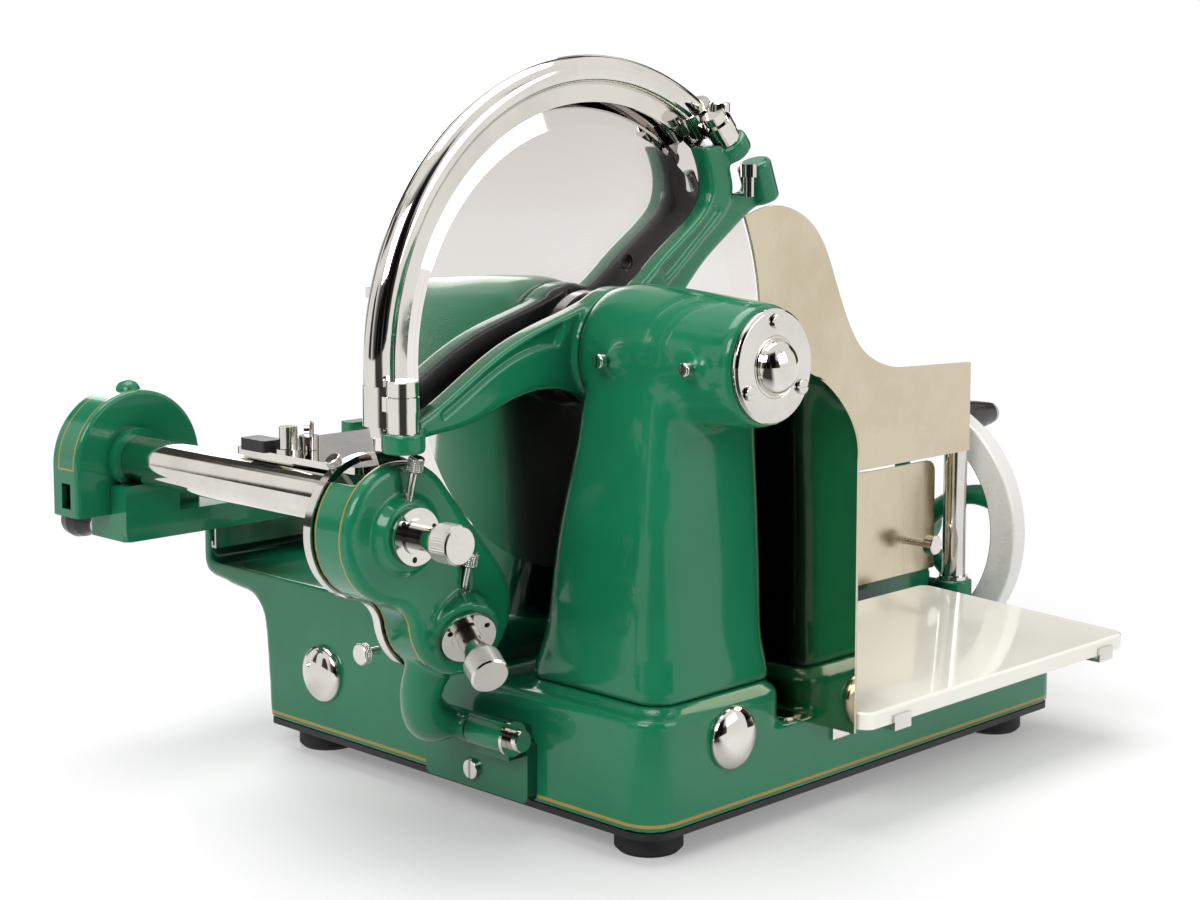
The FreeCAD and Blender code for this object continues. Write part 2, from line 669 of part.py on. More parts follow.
# -------------------------------------------------------------------- blade
blade_rows = [
    ("hub_radius / 3", "blade_dish"), ("blade_flat_radius", "blade_dish"),
    ("blade_radius", "0.3"), ("blade_radius", "0"), ("blade_radius - 9", "0.9"),
    ("blade_flat_radius", "blade_dish - blade_thickness"),
    ("hub_radius / 3", "blade_dish - blade_thickness"),
]
blade = turned("blade", blade_rows, ("0", "0", "axis_height"), "-Y")
drilled(blade, ("blade_hole_x", "blade_hole_z"), "blade_hole")
hub_rows = [("0", "0"), ("hub_radius", "0"), ("hub_radius", "4"), ("22", "6.5"),
            ("20", "hub_length"), ("shaft_radius", "hub_length"),
            ("shaft_radius", "-head_end - 10"), ("0", "-head_end - 10")]
turned("blade_arbor", hub_rows, ("0", "-blade_dish", "axis_height"), "-Y")
turned("blade_nut", [("0", "0"), ("26", "0"), ("24", "2.2"), ("0", "2.2")],
       ("0", "blade_thickness - blade_dish", "axis_height"), "Y")
turned("upper_sprocket", washer_profile("shaft_radius + running_gap", "upper_sprocket", "8"),
       ("0", "chain_plane + 4", "axis_height"), "-Y")


# ----------------------------------------------------- deflector, tray, plates
deflector_x = size("deflector_x")
sheet_t = size("sheet")
apron_top = size("apron_top")
curve = Part.BSplineCurve()
curve.interpolate([V(0, y, z) for y, z in ((-162, 222), (-160, 238), (-150, 254), (-141, 262),
                                          (-128, 268.5), (-112, 270))])
edges = [curve.toShape()]
loop = [(-112, 270), (-22, 270), (-22, apron_top), (-162, apron_top), (-162, 222)]
for (y0, z0), (y1, z1) in zip(loop, loop[1:]):
    edges.append(Part.makeLine(V(0, y0, z0), V(0, y1, z1)))
deflector = Part.Face(Part.Wire(Part.__sortEdges__(edges))).extrude(V(sheet_t, 0, 0))
deflector.translate(V(deflector_x - sheet_t / 2, 0, 0))
flange = soft_box(size("platform_right") + gap, deflector_x, -118, -30, apron_top,
                  apron_top + sheet_t, 3)
solid("slice_deflector", deflector.fuse(flange))

tray_l = size("tray_left")
tray_r = size("tray_right")
tray_f = size("tray_front")
tray_z = size("tray_height")
tray_t = size("tray_thickness")
tilt = size("tray_tilt")
tray = soft_box(tray_l, tray_r, tray_f, tray_f + size("tray_depth"), tray_z, tray_z + tray_t, 9)
rims = [e for e in tray.Edges if abs(e.CenterOfMass.z - tray_z - tray_t) < 0.01]
tray = tray.makeFillet(2, rims)
tray.rotate(V(0, tray_f, tray_z), V(1, 0, 0), tilt)
solid("glass_tray", tray)


def tray_underside(y):
    """Height of the tilted tray's underside at this depth."""
    return tray_z + (y - tray_f) * math.tan(math.radians(tilt))


rests = []
for x in (tray_l + 20, tray_r - 40):
    for y in (-110, 0):
        rests.append(box(x, x + 12, y - 6, y + 6, apron_top, tray_underside(y - 6)))

clips = []
for x in (94, 318):
    strap = box(x, x + 16, tray_f - 2, front, apron_top - 3.2, apron_top - 1)
    hook = box(x, x + 16, tray_f - 2, tray_f - 0.3, apron_top - 3.2, tray_z + 5)
    foot = box(x, x + 16, front - 2, front, apron_top - 18, apron_top - 1)
    clips.append(strap.fuse([hook, foot]).removeSplitter())
solid("tray_supports", Part.makeCompound(rests + clips))

bed_front = size("bed_front")
splash_top = size("splash_top")
splash = box(deflector_x + 4, bed_right + 1, bed_front - sheet_t, bed_front, 82, splash_top)
corner = [e for e in splash.Edges if abs(e.CenterOfMass.x - bed_right - 1) < 0.2
          and abs(e.CenterOfMass.z - splash_top) < 0.2]
splash = splash.makeFillet(9, corner)
solid("splash_plate", splash)
thumb = knurled_head(366, bed_front - sheet_t - 16, 106, "-Y", 7, 8)
screws.append(thumb.fuse(rod("Y", 366, bed_front - sheet_t - 16, 106, 3.2, 16)))

gauge_f = size("gauge_front")
gauge_r = size("gauge_right")
gauge_z = size("gauge_bottom")
crest = Part.BSplineCurve()
crest_points = ((168, axis_z + 77), (179, axis_z + 79), (190, axis_z + 79), (204, axis_z + 76),
                (222, axis_z + 67), (235, axis_z + 54), (247, axis_z + 32), (261, axis_z + 3),
                (280, axis_z - 23), (302, axis_z - 35), (330, axis_z - 40))
crest.interpolate([V(x, gauge_f, z) for x, z in crest_points])
edges = [crest.toShape()]
loop = [crest_points[-1], (gauge_r, axis_z - 43), (gauge_r, gauge_z), (110, gauge_z),
        (110, axis_z + 60), crest_points[0]]
for (x0, z0), (x1, z1) in zip(loop, loop[1:]):
    edges.append(Part.makeLine(V(x0, gauge_f, z0), V(x1, gauge_f, z1)))
gauge = Part.Face(Part.Wire(Part.__sortEdges__(edges))).extrude(V(0, sheet_t, 0))
gauge = gauge.cut(rod("Y", 0, gauge_f - 5, axis_z, size("gauge_relief"), 20))
solid("gauge_plate", gauge)

post_x = size("post_x")
post_y = size("post_y")
post_r = size("post_radius")
post_top = size("post_top")
post = rod("Z", post_x, post_y, 62, post_r, post_top - 62)
post = post.makeFillet(1.5, [e for e in post.Edges if e.Closed and e.CenterOfMass.z > 100])
flat_y = gauge_f + sheet_t
post = post.cut(box(post_x - 15, post_x + 15, post_y - 15, flat_y, gauge_z - 0.3, post_top + 1))
post = post.fuse(rod("Z", post_x, post_y, 73.2, post_r + 2.2, 2.6))
solid("gauge_post", post)
bracket = rod("Z", post_x, post_y, 56, 13.5, 17)
bracket = bracket.makeFillet(2, [e for e in bracket.Edges if e.Closed])
slide_bar = soft_box(399, 413, post_y, 110, 56, 70, 2, "Y")
bracket = bracket.fuse(slide_bar).cut([rod("Z", post_x, post_y, 62, post_r, 20),
                                       rod("Y", 406, 60, 63, 4, 60)])
solid("gauge_bracket", bracket)
way = box(bed_right, 416.3, 40, 140, 52.7, 73.3).cut(box(398.7, 413.3, 30, 124, 55.7, 70.3))
way = way.cut([box(412, 420, 30, 150, 59, 67), rod("Y", 406, 120, 63, 4 + run_gap, 30)])
solid("gauge_way", way)
dial = [("0", "0"), ("3.9", "0"), ("3.9", "74"), ("7", "74"), ("7", "176"), ("17", "178"),
        ("18", "180"), ("18", "192"), ("16.5", "194"), ("0", "194")]
turned("gauge_dial", dial, ("406", "66.5", "63"), "Y")

# ------------------------------------------------------- handwheel and drive
wheel_r = size("wheel_radius")
rim_w = size("wheel_rim")
wheel_x = size("wheel_face")
wheel_w = size("wheel_width")
hub_r = size("wheel_hub")
rim = tube("X", wheel_x, wheel_y, wheel_z, wheel_r, wheel_r - rim_w, wheel_w)
rim = rim.makeFillet(2, [e for e in rim.Edges if e.Closed and e.Curve.Radius > wheel_r - 1])
hub_x = wheel_x - 4
hub_w = wheel_w + 12
wheel_hub = rod("X", hub_x, wheel_y, wheel_z, hub_r, hub_w)
wheel_hub = wheel_hub.makeFillet(2, [e for e in wheel_hub.Edges if e.Closed])
inner_r = wheel_r - rim_w


def spoke(turn):
    """One S-shaped spoke, wide at the hub and at the rim."""
    mid = wheel_x + wheel_w / 2
    stations = ((hub_r - 3, 0, 10, 5.5), (36, 6, 7.5, 5), (54, 9, 7, 4.5), (70, 6, 8.5, 4.5),
                (inner_r + 3, 0, 12, 5))
    wires = []
    for reach, bow, across, thick in stations:
        oval = Part.Ellipse(V(0, 0, 0), across, thick).toShape()
        oval.Placement = FreeCAD.Placement(V(mid, wheel_y + bow, wheel_z + reach),
                                           FreeCAD.Rotation(V(0, 1, 0), V(1, 0, 0), V(), "XYZ"))
        wires.append(Part.Wire([oval]))
    arm = Part.makeLoft(wires, True, False)
    arm.rotate(V(0, wheel_y, wheel_z), V(1, 0, 0), turn)
    return arm


SPOKES = 5
handle_r = size("handle_circle")
handle_x = wheel_x + wheel_w
handle_pad = rod("X", wheel_x + 2, wheel_y, wheel_z + handle_r, 13, wheel_w - 2)
wheel = rim.fuse([wheel_hub, handle_pad] + [spoke(360 * i / SPOKES) for i in range(SPOKES)])
wheel = wheel.cut([rod("X", hub_x - 1, wheel_y, wheel_z, drive_r + run_gap, hub_w + 5),
                   rod("X", wheel_x, wheel_y, wheel_z + handle_r, 5 + run_gap, wheel_w + 5)])
solid("handwheel", wheel)
shaft = rod("X", 308, wheel_y, wheel_z, drive_r, hub_x + hub_w - 308)
shaft_nut = rod("X", hub_x + hub_w, wheel_y, wheel_z, 13, 7)
shaft_nut = shaft_nut.makeFillet(3, [e for e in shaft_nut.Edges if e.Closed
                                     and e.CenterOfMass.x > hub_x + hub_w + 3])
bearings.append(tube("X", bed_right - 10, wheel_y, wheel_z, 14, drive_r + run_gap, 38))
solid("bearings", Part.makeCompound(bearings))
grip_l = size("grip_length")
spindle = rod("X", wheel_x + 4, wheel_y, wheel_z + handle_r, 5, wheel_w + grip_l + 2)
spindle = spindle.fuse([rod("X", handle_x, wheel_y, wheel_z + handle_r, 10, 3),
                        rod("X", handle_x + grip_l + 3.6, wheel_y, wheel_z + handle_r, 8, 4)])
solid("handle_spindle", spindle)
grip_rows = [("5 + running_gap", "0"), ("9.5", "0"), ("grip_radius - 2.2", "10"),
             ("grip_radius", "34"), ("grip_radius - 0.4", "56"), ("grip_radius - 2.6", "76"),
             ("9", "grip_length"), ("5 + running_gap", "grip_length")]
turned("handle_grip", grip_rows,
       ("wheel_face + wheel_width + 3.3", "wheel_y", "wheel_z + handle_circle"), "X")


def spur_gear(x, y, z, teeth, pitch, width, bore, turn):
    """A spur gear about +X with straight-sided teeth."""
    module = 2 * pitch / teeth
    points = []
    for i in range(teeth):
        for share, reach in ((-0.28, pitch - 1.2 * module), (-0.12, pitch + 0.85 * module),
                             (0.12, pitch + 0.85 * module), (0.28, pitch - 1.2 * module)):
            angle = 2 * math.pi * (i + share) / teeth + math.radians(turn)
            points.append((x, y + reach * math.cos(angle), z + reach * math.sin(angle)))
    return extruded(points, V(1, 0, 0), width).cut(rod("X", x - 1, y, z, bore, width + 2))


gear_w = size("gear_width")
drive_gear = size("drive_gear")
counter_gear = size("counter_gear")
big_teeth = 32
small_teeth = round(big_teeth * counter_gear / drive_gear)
spur = spur_gear(gear_x, wheel_y, wheel_z, big_teeth, drive_gear, gear_w, drive_r - 1, -90)
solid("drive_shaft", shaft.fuse([shaft_nut, spur]))
pinion = spur_gear(gear_x, wheel_y, counter_z, small_teeth, counter_gear, gear_w,
                   counter_r - 2, 90 + 180 / small_teeth)
counter_shaft = rod("X", 11, wheel_y, counter_z, counter_r, 356).fuse(pinion)
bevel_l = size("bevel_large")
bevel_s = size("bevel_small")


def bevel_gear(radius, reach, teeth, bore):
    """A bevel gear about +X whose cone's tip is at the origin."""
    cone = Part.makeCone(0.45 * radius, radius, 0.55 * reach, V(0.45 * reach, 0, 0), V(1, 0, 0))
    back_disc = rod("X", reach, 0, 0, radius, 3)
    gear = cone.fuse(back_disc)
    slope = math.degrees(math.atan2(radius, reach))
    notches = []
    for i in range(teeth):
        notch = box(-2, 1.6 * radius, -0.24 * 2 * math.pi * radius / teeth,
                    0.24 * 2 * math.pi * radius / teeth, -1.4, 3)
        notch.translate(V(0.3 * reach, 0, 0))
        notch.rotate(V(0, 0, 0), V(0, 1, 0), -slope)
        notch.rotate(V(0, 0, 0), V(1, 0, 0), 360 * i / teeth)
        notches.append(notch)
    return gear.cut(notches).cut(rod("X", -1, 0, 0, bore, 3 * reach))


large_bevel = bevel_gear(bevel_l - 0.4, bevel_s, 24, 6)
large_bevel.translate(V(0.4, wheel_y, counter_z))
solid("counter_shaft", counter_shaft.fuse(large_bevel))
small_bevel = bevel_gear(bevel_s - 0.4, bevel_l, 16, 3)
small_bevel.rotate(V(0, 0, 0), V(0, 0, 1), -90)
small_bevel.translate(V(0, wheel_y - 0.4, counter_z))
cross_start = -82
cross = rod("Y", 0, cross_start, counter_z, counter_r, wheel_y - bevel_l - cross_start - 2)
solid("cross_shaft", cross.fuse(small_bevel))
lower_s = size("lower_sprocket")
upper_s = size("upper_sprocket")
turned("lower_sprocket", washer_profile("8 + running_gap", "lower_sprocket", "8"),
       ("0", "chain_plane + 4", "wheel_z - drive_gear - counter_gear"), "-Y")


def chain_loop(grow, y, depth):
    """The area inside a band that wraps both sprockets, as a prism along +Y."""
    low = lower_s + grow
    high = upper_s + grow
    rise = axis_z - counter_z
    lean = math.asin((low - high) / rise)
    points = []
    for side in (1, -1):
        dx = side * math.cos(lean)
        dz = math.sin(lean)
        ends = [(low * dx, counter_z + low * dz), (high * dx, axis_z + high * dz)]
        points += ends if side == 1 else ends[::-1]
    body = extruded([(x, y, z) for x, z in points], V(0, 1, 0), depth)
    return body.fuse([rod("Y", 0, y, counter_z, low, depth), rod("Y", 0, y, axis_z, high, depth)])


chain_d = size("chain_depth")
chain = chain_loop(6, chain_y - chain_d / 2, chain_d).cut(chain_loop(0.5, chain_y - 10, 20))
solid("drive_chain", chain)


# --------------------------------------------------------- carriage and table
rail_r = size("rail_radius")
rail_y = size("rail_y")
rail_z = size("rail_z")
solid("carriage_rail", rod("X", left + 10, rail_y, rail_z, rail_r, bed_right - left - 16))

tube_x = size("tube_x")
tube_z = size("tube_z")
tube_r = size("tube_radius")
tube_w = size("tube_wall")
tube_f = size("tube_front")
cover_y = size("cover_y")
cover_d = size("cover_depth")
cover_r = size("cover_radius")
screw_r = size("screw_radius")
deck_low = size("deck_low")
deck_top = size("deck_top")
deck_left = 12
deck_right = 110
deck = soft_box(deck_left, deck_right, rail_y - 12, back, deck_low, deck_top, 6)
deck = deck.cut(soft_box(30, 100, rail_y + 26, back - 75, rail_z, deck_top + 5, 6))
lip_low = size("rail_wall_top") + gap
lip_top = size("deck_lip")
lip_front = back - 14
lip = soft_box(left, deck_right, lip_front, back, lip_low, lip_top + 4, 3.5, "X")
sleeves = [rod("X", x, rail_y, rail_z, rail_r + 5, 42) for x in (deck_left + 2, deck_right - 44)]
# The bracket that carries the feed tube from the lip, with its saddle.
bracket_front = cover_y - 17
bracket_top = size("cover_low")
arm_plate = soft_box(-172, -36, bracket_front, cover_y + cover_d + 2, lip_top, bracket_top, 5)
arm_plate = arm_plate.fuse(soft_box(-93, -36, bracket_front, back, lip_top, bracket_top, 5))
saddle = soft_box(-172, -132, bracket_front, cover_y - gap, lip_top + 2, tube_z - 14, 4, "Y")
guide_x = 60
guide_z = 188
guide_posts = [soft_box(guide_x - 14, guide_x + 14, y, y + 14, deck_top - 4, guide_z + 13, 4)
               for y in (236, 276)]
frame_shape = deck.fuse(sleeves + [lip, arm_plate, saddle] + guide_posts)
frame_shape = frame_shape.cut([
    rod("X", left - 5, rail_y, rail_z, rail_r + run_gap, 200),
    rod("Y", guide_x, 200, guide_z, 8 + run_gap, 120),
    rod("Y", tube_x, 200, tube_z, tube_r + run_gap, 60),
    rod("Y", tube_x, size("cover_y") - 7, tube_z, 20.2, 10),
])
solid("carriage_frame", frame_shape)
# The guide bar of the table, and the hook plate under the carriage's back lip.
guide_bar = rod("Y", guide_x, 64, guide_z, 8, 226)
hook_y = lip_front - 1.7
hook_low = 124.6
hook_left = left + 0.5
hook_plate = box(hook_left, deck_left - 1, hook_y, lip_front, hook_low, lip_top)
hook_plate = hook_plate.fuse([
    box(hook_left, deck_right - 2, hook_y, lip_front, hook_low, deck_low),
    box(hook_left, deck_right - 2, hook_y, hook_y + 5.2, hook_low, hook_low + 1.7),
    box(hook_left, deck_right - 2, hook_y + 3.5, hook_y + 5.2, hook_low, hook_low + 4.5),
    slotted_screw(-53, hook_y, 145, "-Y", 2.8, 1.8),
    slotted_screw(-27, hook_y, 143, "-Y", 2.8, 1.8),
]).removeSplitter()
solid("carriage_guides", Part.makeCompound([guide_bar, hook_plate]))

feed_tube = tube("Y", tube_x, tube_f, tube_z, tube_r, tube_r - tube_w, cover_y - tube_f)
plug = tube("Y", tube_x, tube_f, tube_z, tube_r - tube_w + 0.5, screw_r + run_gap, 5)
feed_tube = feed_tube.fuse(plug).cut(box(tube_x, tube_x + 30, 56, 212, tube_z - 4, tube_z + 4))
solid("feed_tube", feed_tube)

cover_x = -150
cover_z = 199
cover_low = size("cover_low")


def half_round(inset, y, depth):
    """The half-round housing's outline, or its hollow, as a prism along +Y."""
    radius = cover_r - inset
    body = rod("Y", cover_x, y, cover_z, radius, depth)
    body = body.fuse(box(cover_x - radius, cover_x + radius, y, y + depth, cover_low + inset,
                         cover_z))
    low = box(cover_x - 60, cover_x + 60, y - 1, y + depth + 1, 100, cover_low + inset)
    return body.cut(low).removeSplitter()


cover = half_round(0, cover_y, cover_d)
front_rim = [e for e in cover.Edges if abs(e.CenterOfMass.y - cover_y) < 0.01
             and e.CenterOfMass.z > cover_low + 1]
cover = cover.makeFillet(3, front_rim)
nub = Part.makeSphere(8, V(cover_x, cover_y + 12, cover_z + cover_r - 2))
cover = cover.cut(half_round(3.5, cover_y + 3.5, cover_d)).fuse(
    [nub.cut(half_round(1, cover_y, cover_d)),
     rod("Y", tube_x, cover_y - 7, tube_z, 20, 9)])
pawl_x = tube_x + 34
pawl_z = tube_z + 10
cover = cover.cut([rod("Y", tube_x, cover_y - 10, tube_z, tube_r + run_gap, 10),
                   rod("Y", tube_x, cover_y - 1, tube_z, screw_r + run_gap, 10),
                   box(cover_x - 60, cover_x - 40, cover_y + 8, cover_y + 18, 173, 189)])
cover = cover.fuse([slotted_screw(-137, cover_y, 193, "-Y", 3.6, 2.4),
                    rod("Y", pawl_x, cover_y + 3, pawl_z, 2, 12)])
solid("feed_cover", cover)
back_plate = half_round(0.2, cover_y + cover_d, 2.5)
back_plate = back_plate.cut(rod("Y", tube_x, cover_y, tube_z, screw_r + 1, 50))
solid("feed_cover_plate", back_plate)

screw_end = cover_y + cover_d + 18
feed_screw = rod("Y", tube_x, tube_f + 0.5, tube_z, screw_r, screw_end - tube_f)
thread = [tube("Y", tube_x, 62 + 8 * i, tube_z, screw_r + 1, screw_r - 0.8, 3) for i in range(19)]
solid("feed_screw", feed_screw.cut(thread))


def ratchet(x, y, z, teeth, radius, width, bore):
    """A ratchet wheel about +Y with saw teeth."""
    points = []
    for i in range(teeth):
        for share, reach in ((0, radius), (0.94, radius - 4), (0.98, radius - 4)):
            angle = 2 * math.pi * (i + share) / teeth
            points.append((x + reach * math.cos(angle), y, z + reach * math.sin(angle)))
    return extruded(points, V(0, 1, 0), width).cut(rod("Y", x, y - 1, z, bore, width + 2))


wheel_shape = ratchet(tube_x, cover_y + 9, tube_z, 24, 30, 6, screw_r + run_gap)
wheel_shape = wheel_shape.fuse(tube("Y", tube_x, cover_y + 5, tube_z, 11, screw_r + run_gap, 16))
solid("ratchet_wheel", wheel_shape)
pawl = extruded([(pawl_x - 3, cover_y + 10, pawl_z + 3), (pawl_x + 4, cover_y + 10, pawl_z + 3),
                 (pawl_x + 4, cover_y + 10, pawl_z - 8), (pawl_x - 2.5, cover_y + 10, pawl_z - 15),
                 (pawl_x - 3.9, cover_y + 10, pawl_z - 13), (pawl_x - 1, cover_y + 10, pawl_z - 6)],
                V(0, 1, 0), 4)
pawl = pawl.cut(rod("Y", pawl_x, cover_y, pawl_z, 2.1, 30))
solid("ratchet_pawl", pawl)
crank_y = cover_y + cover_d + 6
crank = rod("Y", tube_x, crank_y, tube_z, 11, 12)
crank = crank.fuse([
    extruded([(tube_x - 8, crank_y + 4, tube_z), (tube_x + 8, crank_y + 4, tube_z),
              (tube_x + 6, crank_y + 4, tube_z - 48), (tube_x - 6, crank_y + 4, tube_z - 48)],
             V(0, 1, 0), 7),
    rod("Y", tube_x, crank_y + 4, tube_z - 48, 8, 7)])
crank = crank.cut([rod("Y", tube_x, crank_y - 1, tube_z, screw_r + run_gap, 14)])
solid("feed_crank", crank)
knob_rows = [("0", "0"), ("5", "0"), ("5.5", "6"), ("10", "16"), ("11.5", "24"), ("10.5", "31"),
             ("7", "36"), ("0", "38")]
turned("feed_crank_knob", knob_rows, ("tube_x", "cover_y + cover_depth + 17.3", "tube_z - 48"),
       "Y")

table_f = size("table_front")
table_b = size("table_back")
table_l = size("table_left")
table_r = size("table_right")
table_top = size("table_top")
table_s = size("table_sheet")
table_low = table_top - table_s
nut_y = 82
nut = tube("Y", tube_x, nut_y, tube_z, tube_r - tube_w - gap, screw_r + 0.3, 26)
web = box(tube_x + screw_r + 1, -128, nut_y + 2, nut_y + 24, tube_z - 3.2, tube_z + 3.2)
solid("feed_nut", nut.fuse(web))
beam = soft_box(-134, guide_x + 13, nut_y, nut_y + 26, 195, table_low, 3, "Y")
beam = beam.cut(box(-140, -127.8, nut_y - 1, nut_y + 27, tube_z - 3.4, tube_z + 3.4))
ribs = [box(x, x + 6, table_f + 6, table_b - 6, table_low - 9, table_low) for x in (-100, -20, 60)]
bush = rod("Y", guide_x, 70, guide_z, 13, 60)
beam = beam.fuse(ribs + [bush]).cut([
    rod("Y", guide_x, 60, guide_z, 8 + run_gap, 90)])
solid("table_bracket", beam)
top = soft_box(table_l, table_r, table_f, table_b, table_low, table_top, 5)
fence = soft_box(table_l - 4, table_l + 10, table_b - 35, table_b - 11, table_top, table_top + 7, 2)
solid("meat_table", top)
stud = rod("Z", -151, 88, table_top, 7.5, 3).fuse(rod("Z", -151, 88, table_top, 5.4, 16))
wing_x = -133
wing_y = 92
wing = rod("Z", wing_x, wing_y, table_top + 0.3, 6, 8)
for side in (-1, 1):
    ear = Part.makeCylinder(4.8, 3, V(wing_x + side * 6, wing_y - 1.5, table_top + 13), V(0, 1, 0))
    neck = box(min(0, side * 6) + wing_x, max(0, side * 6) + wing_x, wing_y - 1.5,
               wing_y + 1.5, table_top + 3, table_top + 11)
    wing = wing.fuse([ear, neck])
wing.rotate(V(wing_x, wing_y, 0), V(0, 0, 1), 45)
wing = wing.cut(rod("Z", wing_x, wing_y, table_top - 1, 3.3, 22))
solid("wing_nut", wing)
solid("table_fittings", Part.makeCompound([fence, stud,
                                           rod("Z", wing_x, wing_y, table_top, 3, 16)]))

clamp_x = 44
clamp_y = 121
post_h = 118
clamp_post = rod("Z", clamp_x, clamp_y, table_top, 6, post_h)
clamp_post = clamp_post.fuse([rod("Z", clamp_x, clamp_y, table_top, 10, 6),
                              rod("Z", clamp_x, clamp_y, table_top + post_h, 8, 5)])
solid("clamp_post", clamp_post)
clamp_z = table_top + 88
yoke = rod("Z", clamp_x, clamp_y, clamp_z, 11, 22)
blade_arm = extruded([(clamp_x, clamp_y - 9, clamp_z + 4), (clamp_x, clamp_y + 9, clamp_z + 4),
                      (clamp_x - 104, clamp_y - 28, clamp_z + 4),
                      (clamp_x - 104, clamp_y - 42, clamp_z + 4)], V(0, 0, 1), 7)
press = soft_box(clamp_x - 124, clamp_x - 84, clamp_y - 56, clamp_y - 14, clamp_z - 2,
                 clamp_z + 4, 6)
spikes = [Part.makeCone(0.4, 2, 9, V(clamp_x - 118 + 14 * i, clamp_y - 48 + 13 * j, clamp_z - 11))
          for i in range(3) for j in range(3)]
press_shape = yoke.fuse([blade_arm, press] + spikes)
press_shape = press_shape.cut(rod("Z", clamp_x, clamp_y, clamp_z - 1, 6 + run_gap, 30))
solid("meat_press", press_shape)

# ----------------------------------------------------------------- sharpener
hinge_x = size("hinge_x")
hinge_z = size("hinge_z")
hinge_f = size("hinge_front")
hinge_s = size("hinge_split")
hinge_b = size("hinge_back")
knuckle_r = size("knuckle_radius")
pin_r = size("hinge_pin")
bracket_shape = soft_box(left - 8, left, -30, 60, 20, 57, 5, "X")
knuckle = rod("Y", hinge_x, hinge_f, hinge_z, knuckle_r, hinge_s - hinge_f)
web = box(hinge_x, left, hinge_f + 2, hinge_s, hinge_z - 14, hinge_z + 4)
bracket_shape = bracket_shape.fuse([web, knuckle])
bracket_shape = bracket_shape.cut(rod("Y", hinge_x, hinge_f - 5, hinge_z, pin_r + run_gap, 80))
solid("hinge_bracket", bracket_shape)
hinge_pin = rod("Y", hinge_x, hinge_f - 2, hinge_z, pin_r, hinge_b - hinge_f + 4)
hinge_pin = hinge_pin.fuse([rod("Y", hinge_x, hinge_f - 2.6, hinge_z, knuckle_r + 0.8, 2.3),
                            knurled_head(hinge_x, hinge_f - 2.6, hinge_z, "-Y", 6.4, 8)])
solid("hinge_pin", hinge_pin)
screws.append(slotted_screw(left - 8, 17, 31.5, "-X", 6, 3, 1.6))
solid("machine_screws", Part.makeCompound(screws))

stone_x = size("stone_x")
stone_z = size("stone_z")
low_x = size("bevel_stone_x")
low_z = size("bevel_stone_z")
lobe_u = size("lobe_upper")
lobe_l = size("lobe_lower")
house_f = -22
house_b = size("housing_back")
span = math.hypot(low_x - stone_x, low_z - stone_z)
along = V((low_x - stone_x) / span, 0, (low_z - stone_z) / span)
across = V(-along.z, 0, along.x)


def lobes(grow, y, depth, waist):
    """The figure-of-eight prism around both stones, grown or shrunk."""
    upper = V(stone_x, y, stone_z)
    lower = V(low_x, y, low_z)
    body = Part.makeCylinder(lobe_u + grow, depth, upper, V(0, 1, 0))
    body = body.fuse(Part.makeCylinder(lobe_l + grow, depth, lower, V(0, 1, 0)))
    corners = [upper, upper + across * (lobe_u + grow), lower + across * (lobe_l + grow), lower]
    filler = extruded([tuple(c) for c in corners], V(0, 1, 0), depth)
    body = body.fuse(filler).removeSplitter()
    notch = [e for e in body.Edges if abs(e.tangentAt(e.FirstParameter).y) > 0.99
             and (e.CenterOfMass - V(-150, e.CenterOfMass.y, 150)).Length < 40]
    return body.makeFillet(waist, notch)


house = lobes(0, house_f, house_b - house_f, 20)
rim_edges = [e for e in house.Edges if abs(e.CenterOfMass.y - house_f) < 0.01]
house = house.makeFillet(6, rim_edges)
leg = limb([
    ((low_x - 3, -6, low_z - 22), 19, 11, -96),
    ((low_x - 10, 3, low_z - 42), 15, 12, -92),
    ((low_x - 4, 13, low_z - 60), 13.5, 13, -55),
    ((hinge_x - 6, 20, hinge_z + 1), 8.5, 15, -25),
])
leg_knuckle = rod("Y", hinge_x, hinge_s + gap, hinge_z, knuckle_r, hinge_b - hinge_s - gap)
tilt_a = math.radians(size("stone_tilt"))
outward = V(low_x, 0, low_z - axis_z)
outward.normalize()
low_way = V(outward.x * math.sin(tilt_a), -math.cos(tilt_a), outward.z * math.sin(tilt_a))
low_seat = V(low_x - 1, -16, low_z - 5)
boss_u = Part.makeCone(24, 19, 9, V(stone_x, house_f + 2, stone_z), V(0, -1, 0))
boss_u = boss_u.makeFillet(2, [e for e in boss_u.Edges if e.Closed
                               and e.CenterOfMass.y < house_f - 3])
boss_l = Part.makeCylinder(20, 14, low_seat, low_way)
house = house.fuse([boss_u, boss_l, leg])
house = house.cut(lobes(-4, house_f + 4, 60, 16))
house = house.fuse(leg_knuckle)
clearance = size("blade_radius") + 3
for swing in (0, 0.5, 1, 1.25):
    angle = math.radians(size("swing_limit") * swing)
    dx = -hinge_x
    dz = axis_z - hinge_z
    bx = hinge_x + dx * math.cos(angle) - dz * math.sin(angle)
    bz = hinge_z + dx * math.sin(angle) + dz * math.cos(angle)
    house = house.cut(Part.makeCylinder(clearance, 40, V(bx, -13, bz), V(0, 1, 0)))
spindle_r = 4
flange_r = size("flange_radius")
house = house.cut([
    Part.makeCylinder(7 + run_gap, 30, V(stone_x, house_f + 10, stone_z), V(0, -1, 0)),
    Part.makeCylinder(7 + run_gap, 60, low_seat - low_way * 20, low_way),
    rod("Y", hinge_x, hinge_s - 1, hinge_z, pin_r + run_gap, 60),
])
band = lobes(1.5, house_b + 0.2, 6, 20).cut([lobes(-2.5, house_b - 1, 12, 17), leg])

up_way = V(0, -1, 0)
up_face = V(stone_x, house_f - 7, stone_z)
low_face = low_seat + low_way * 14


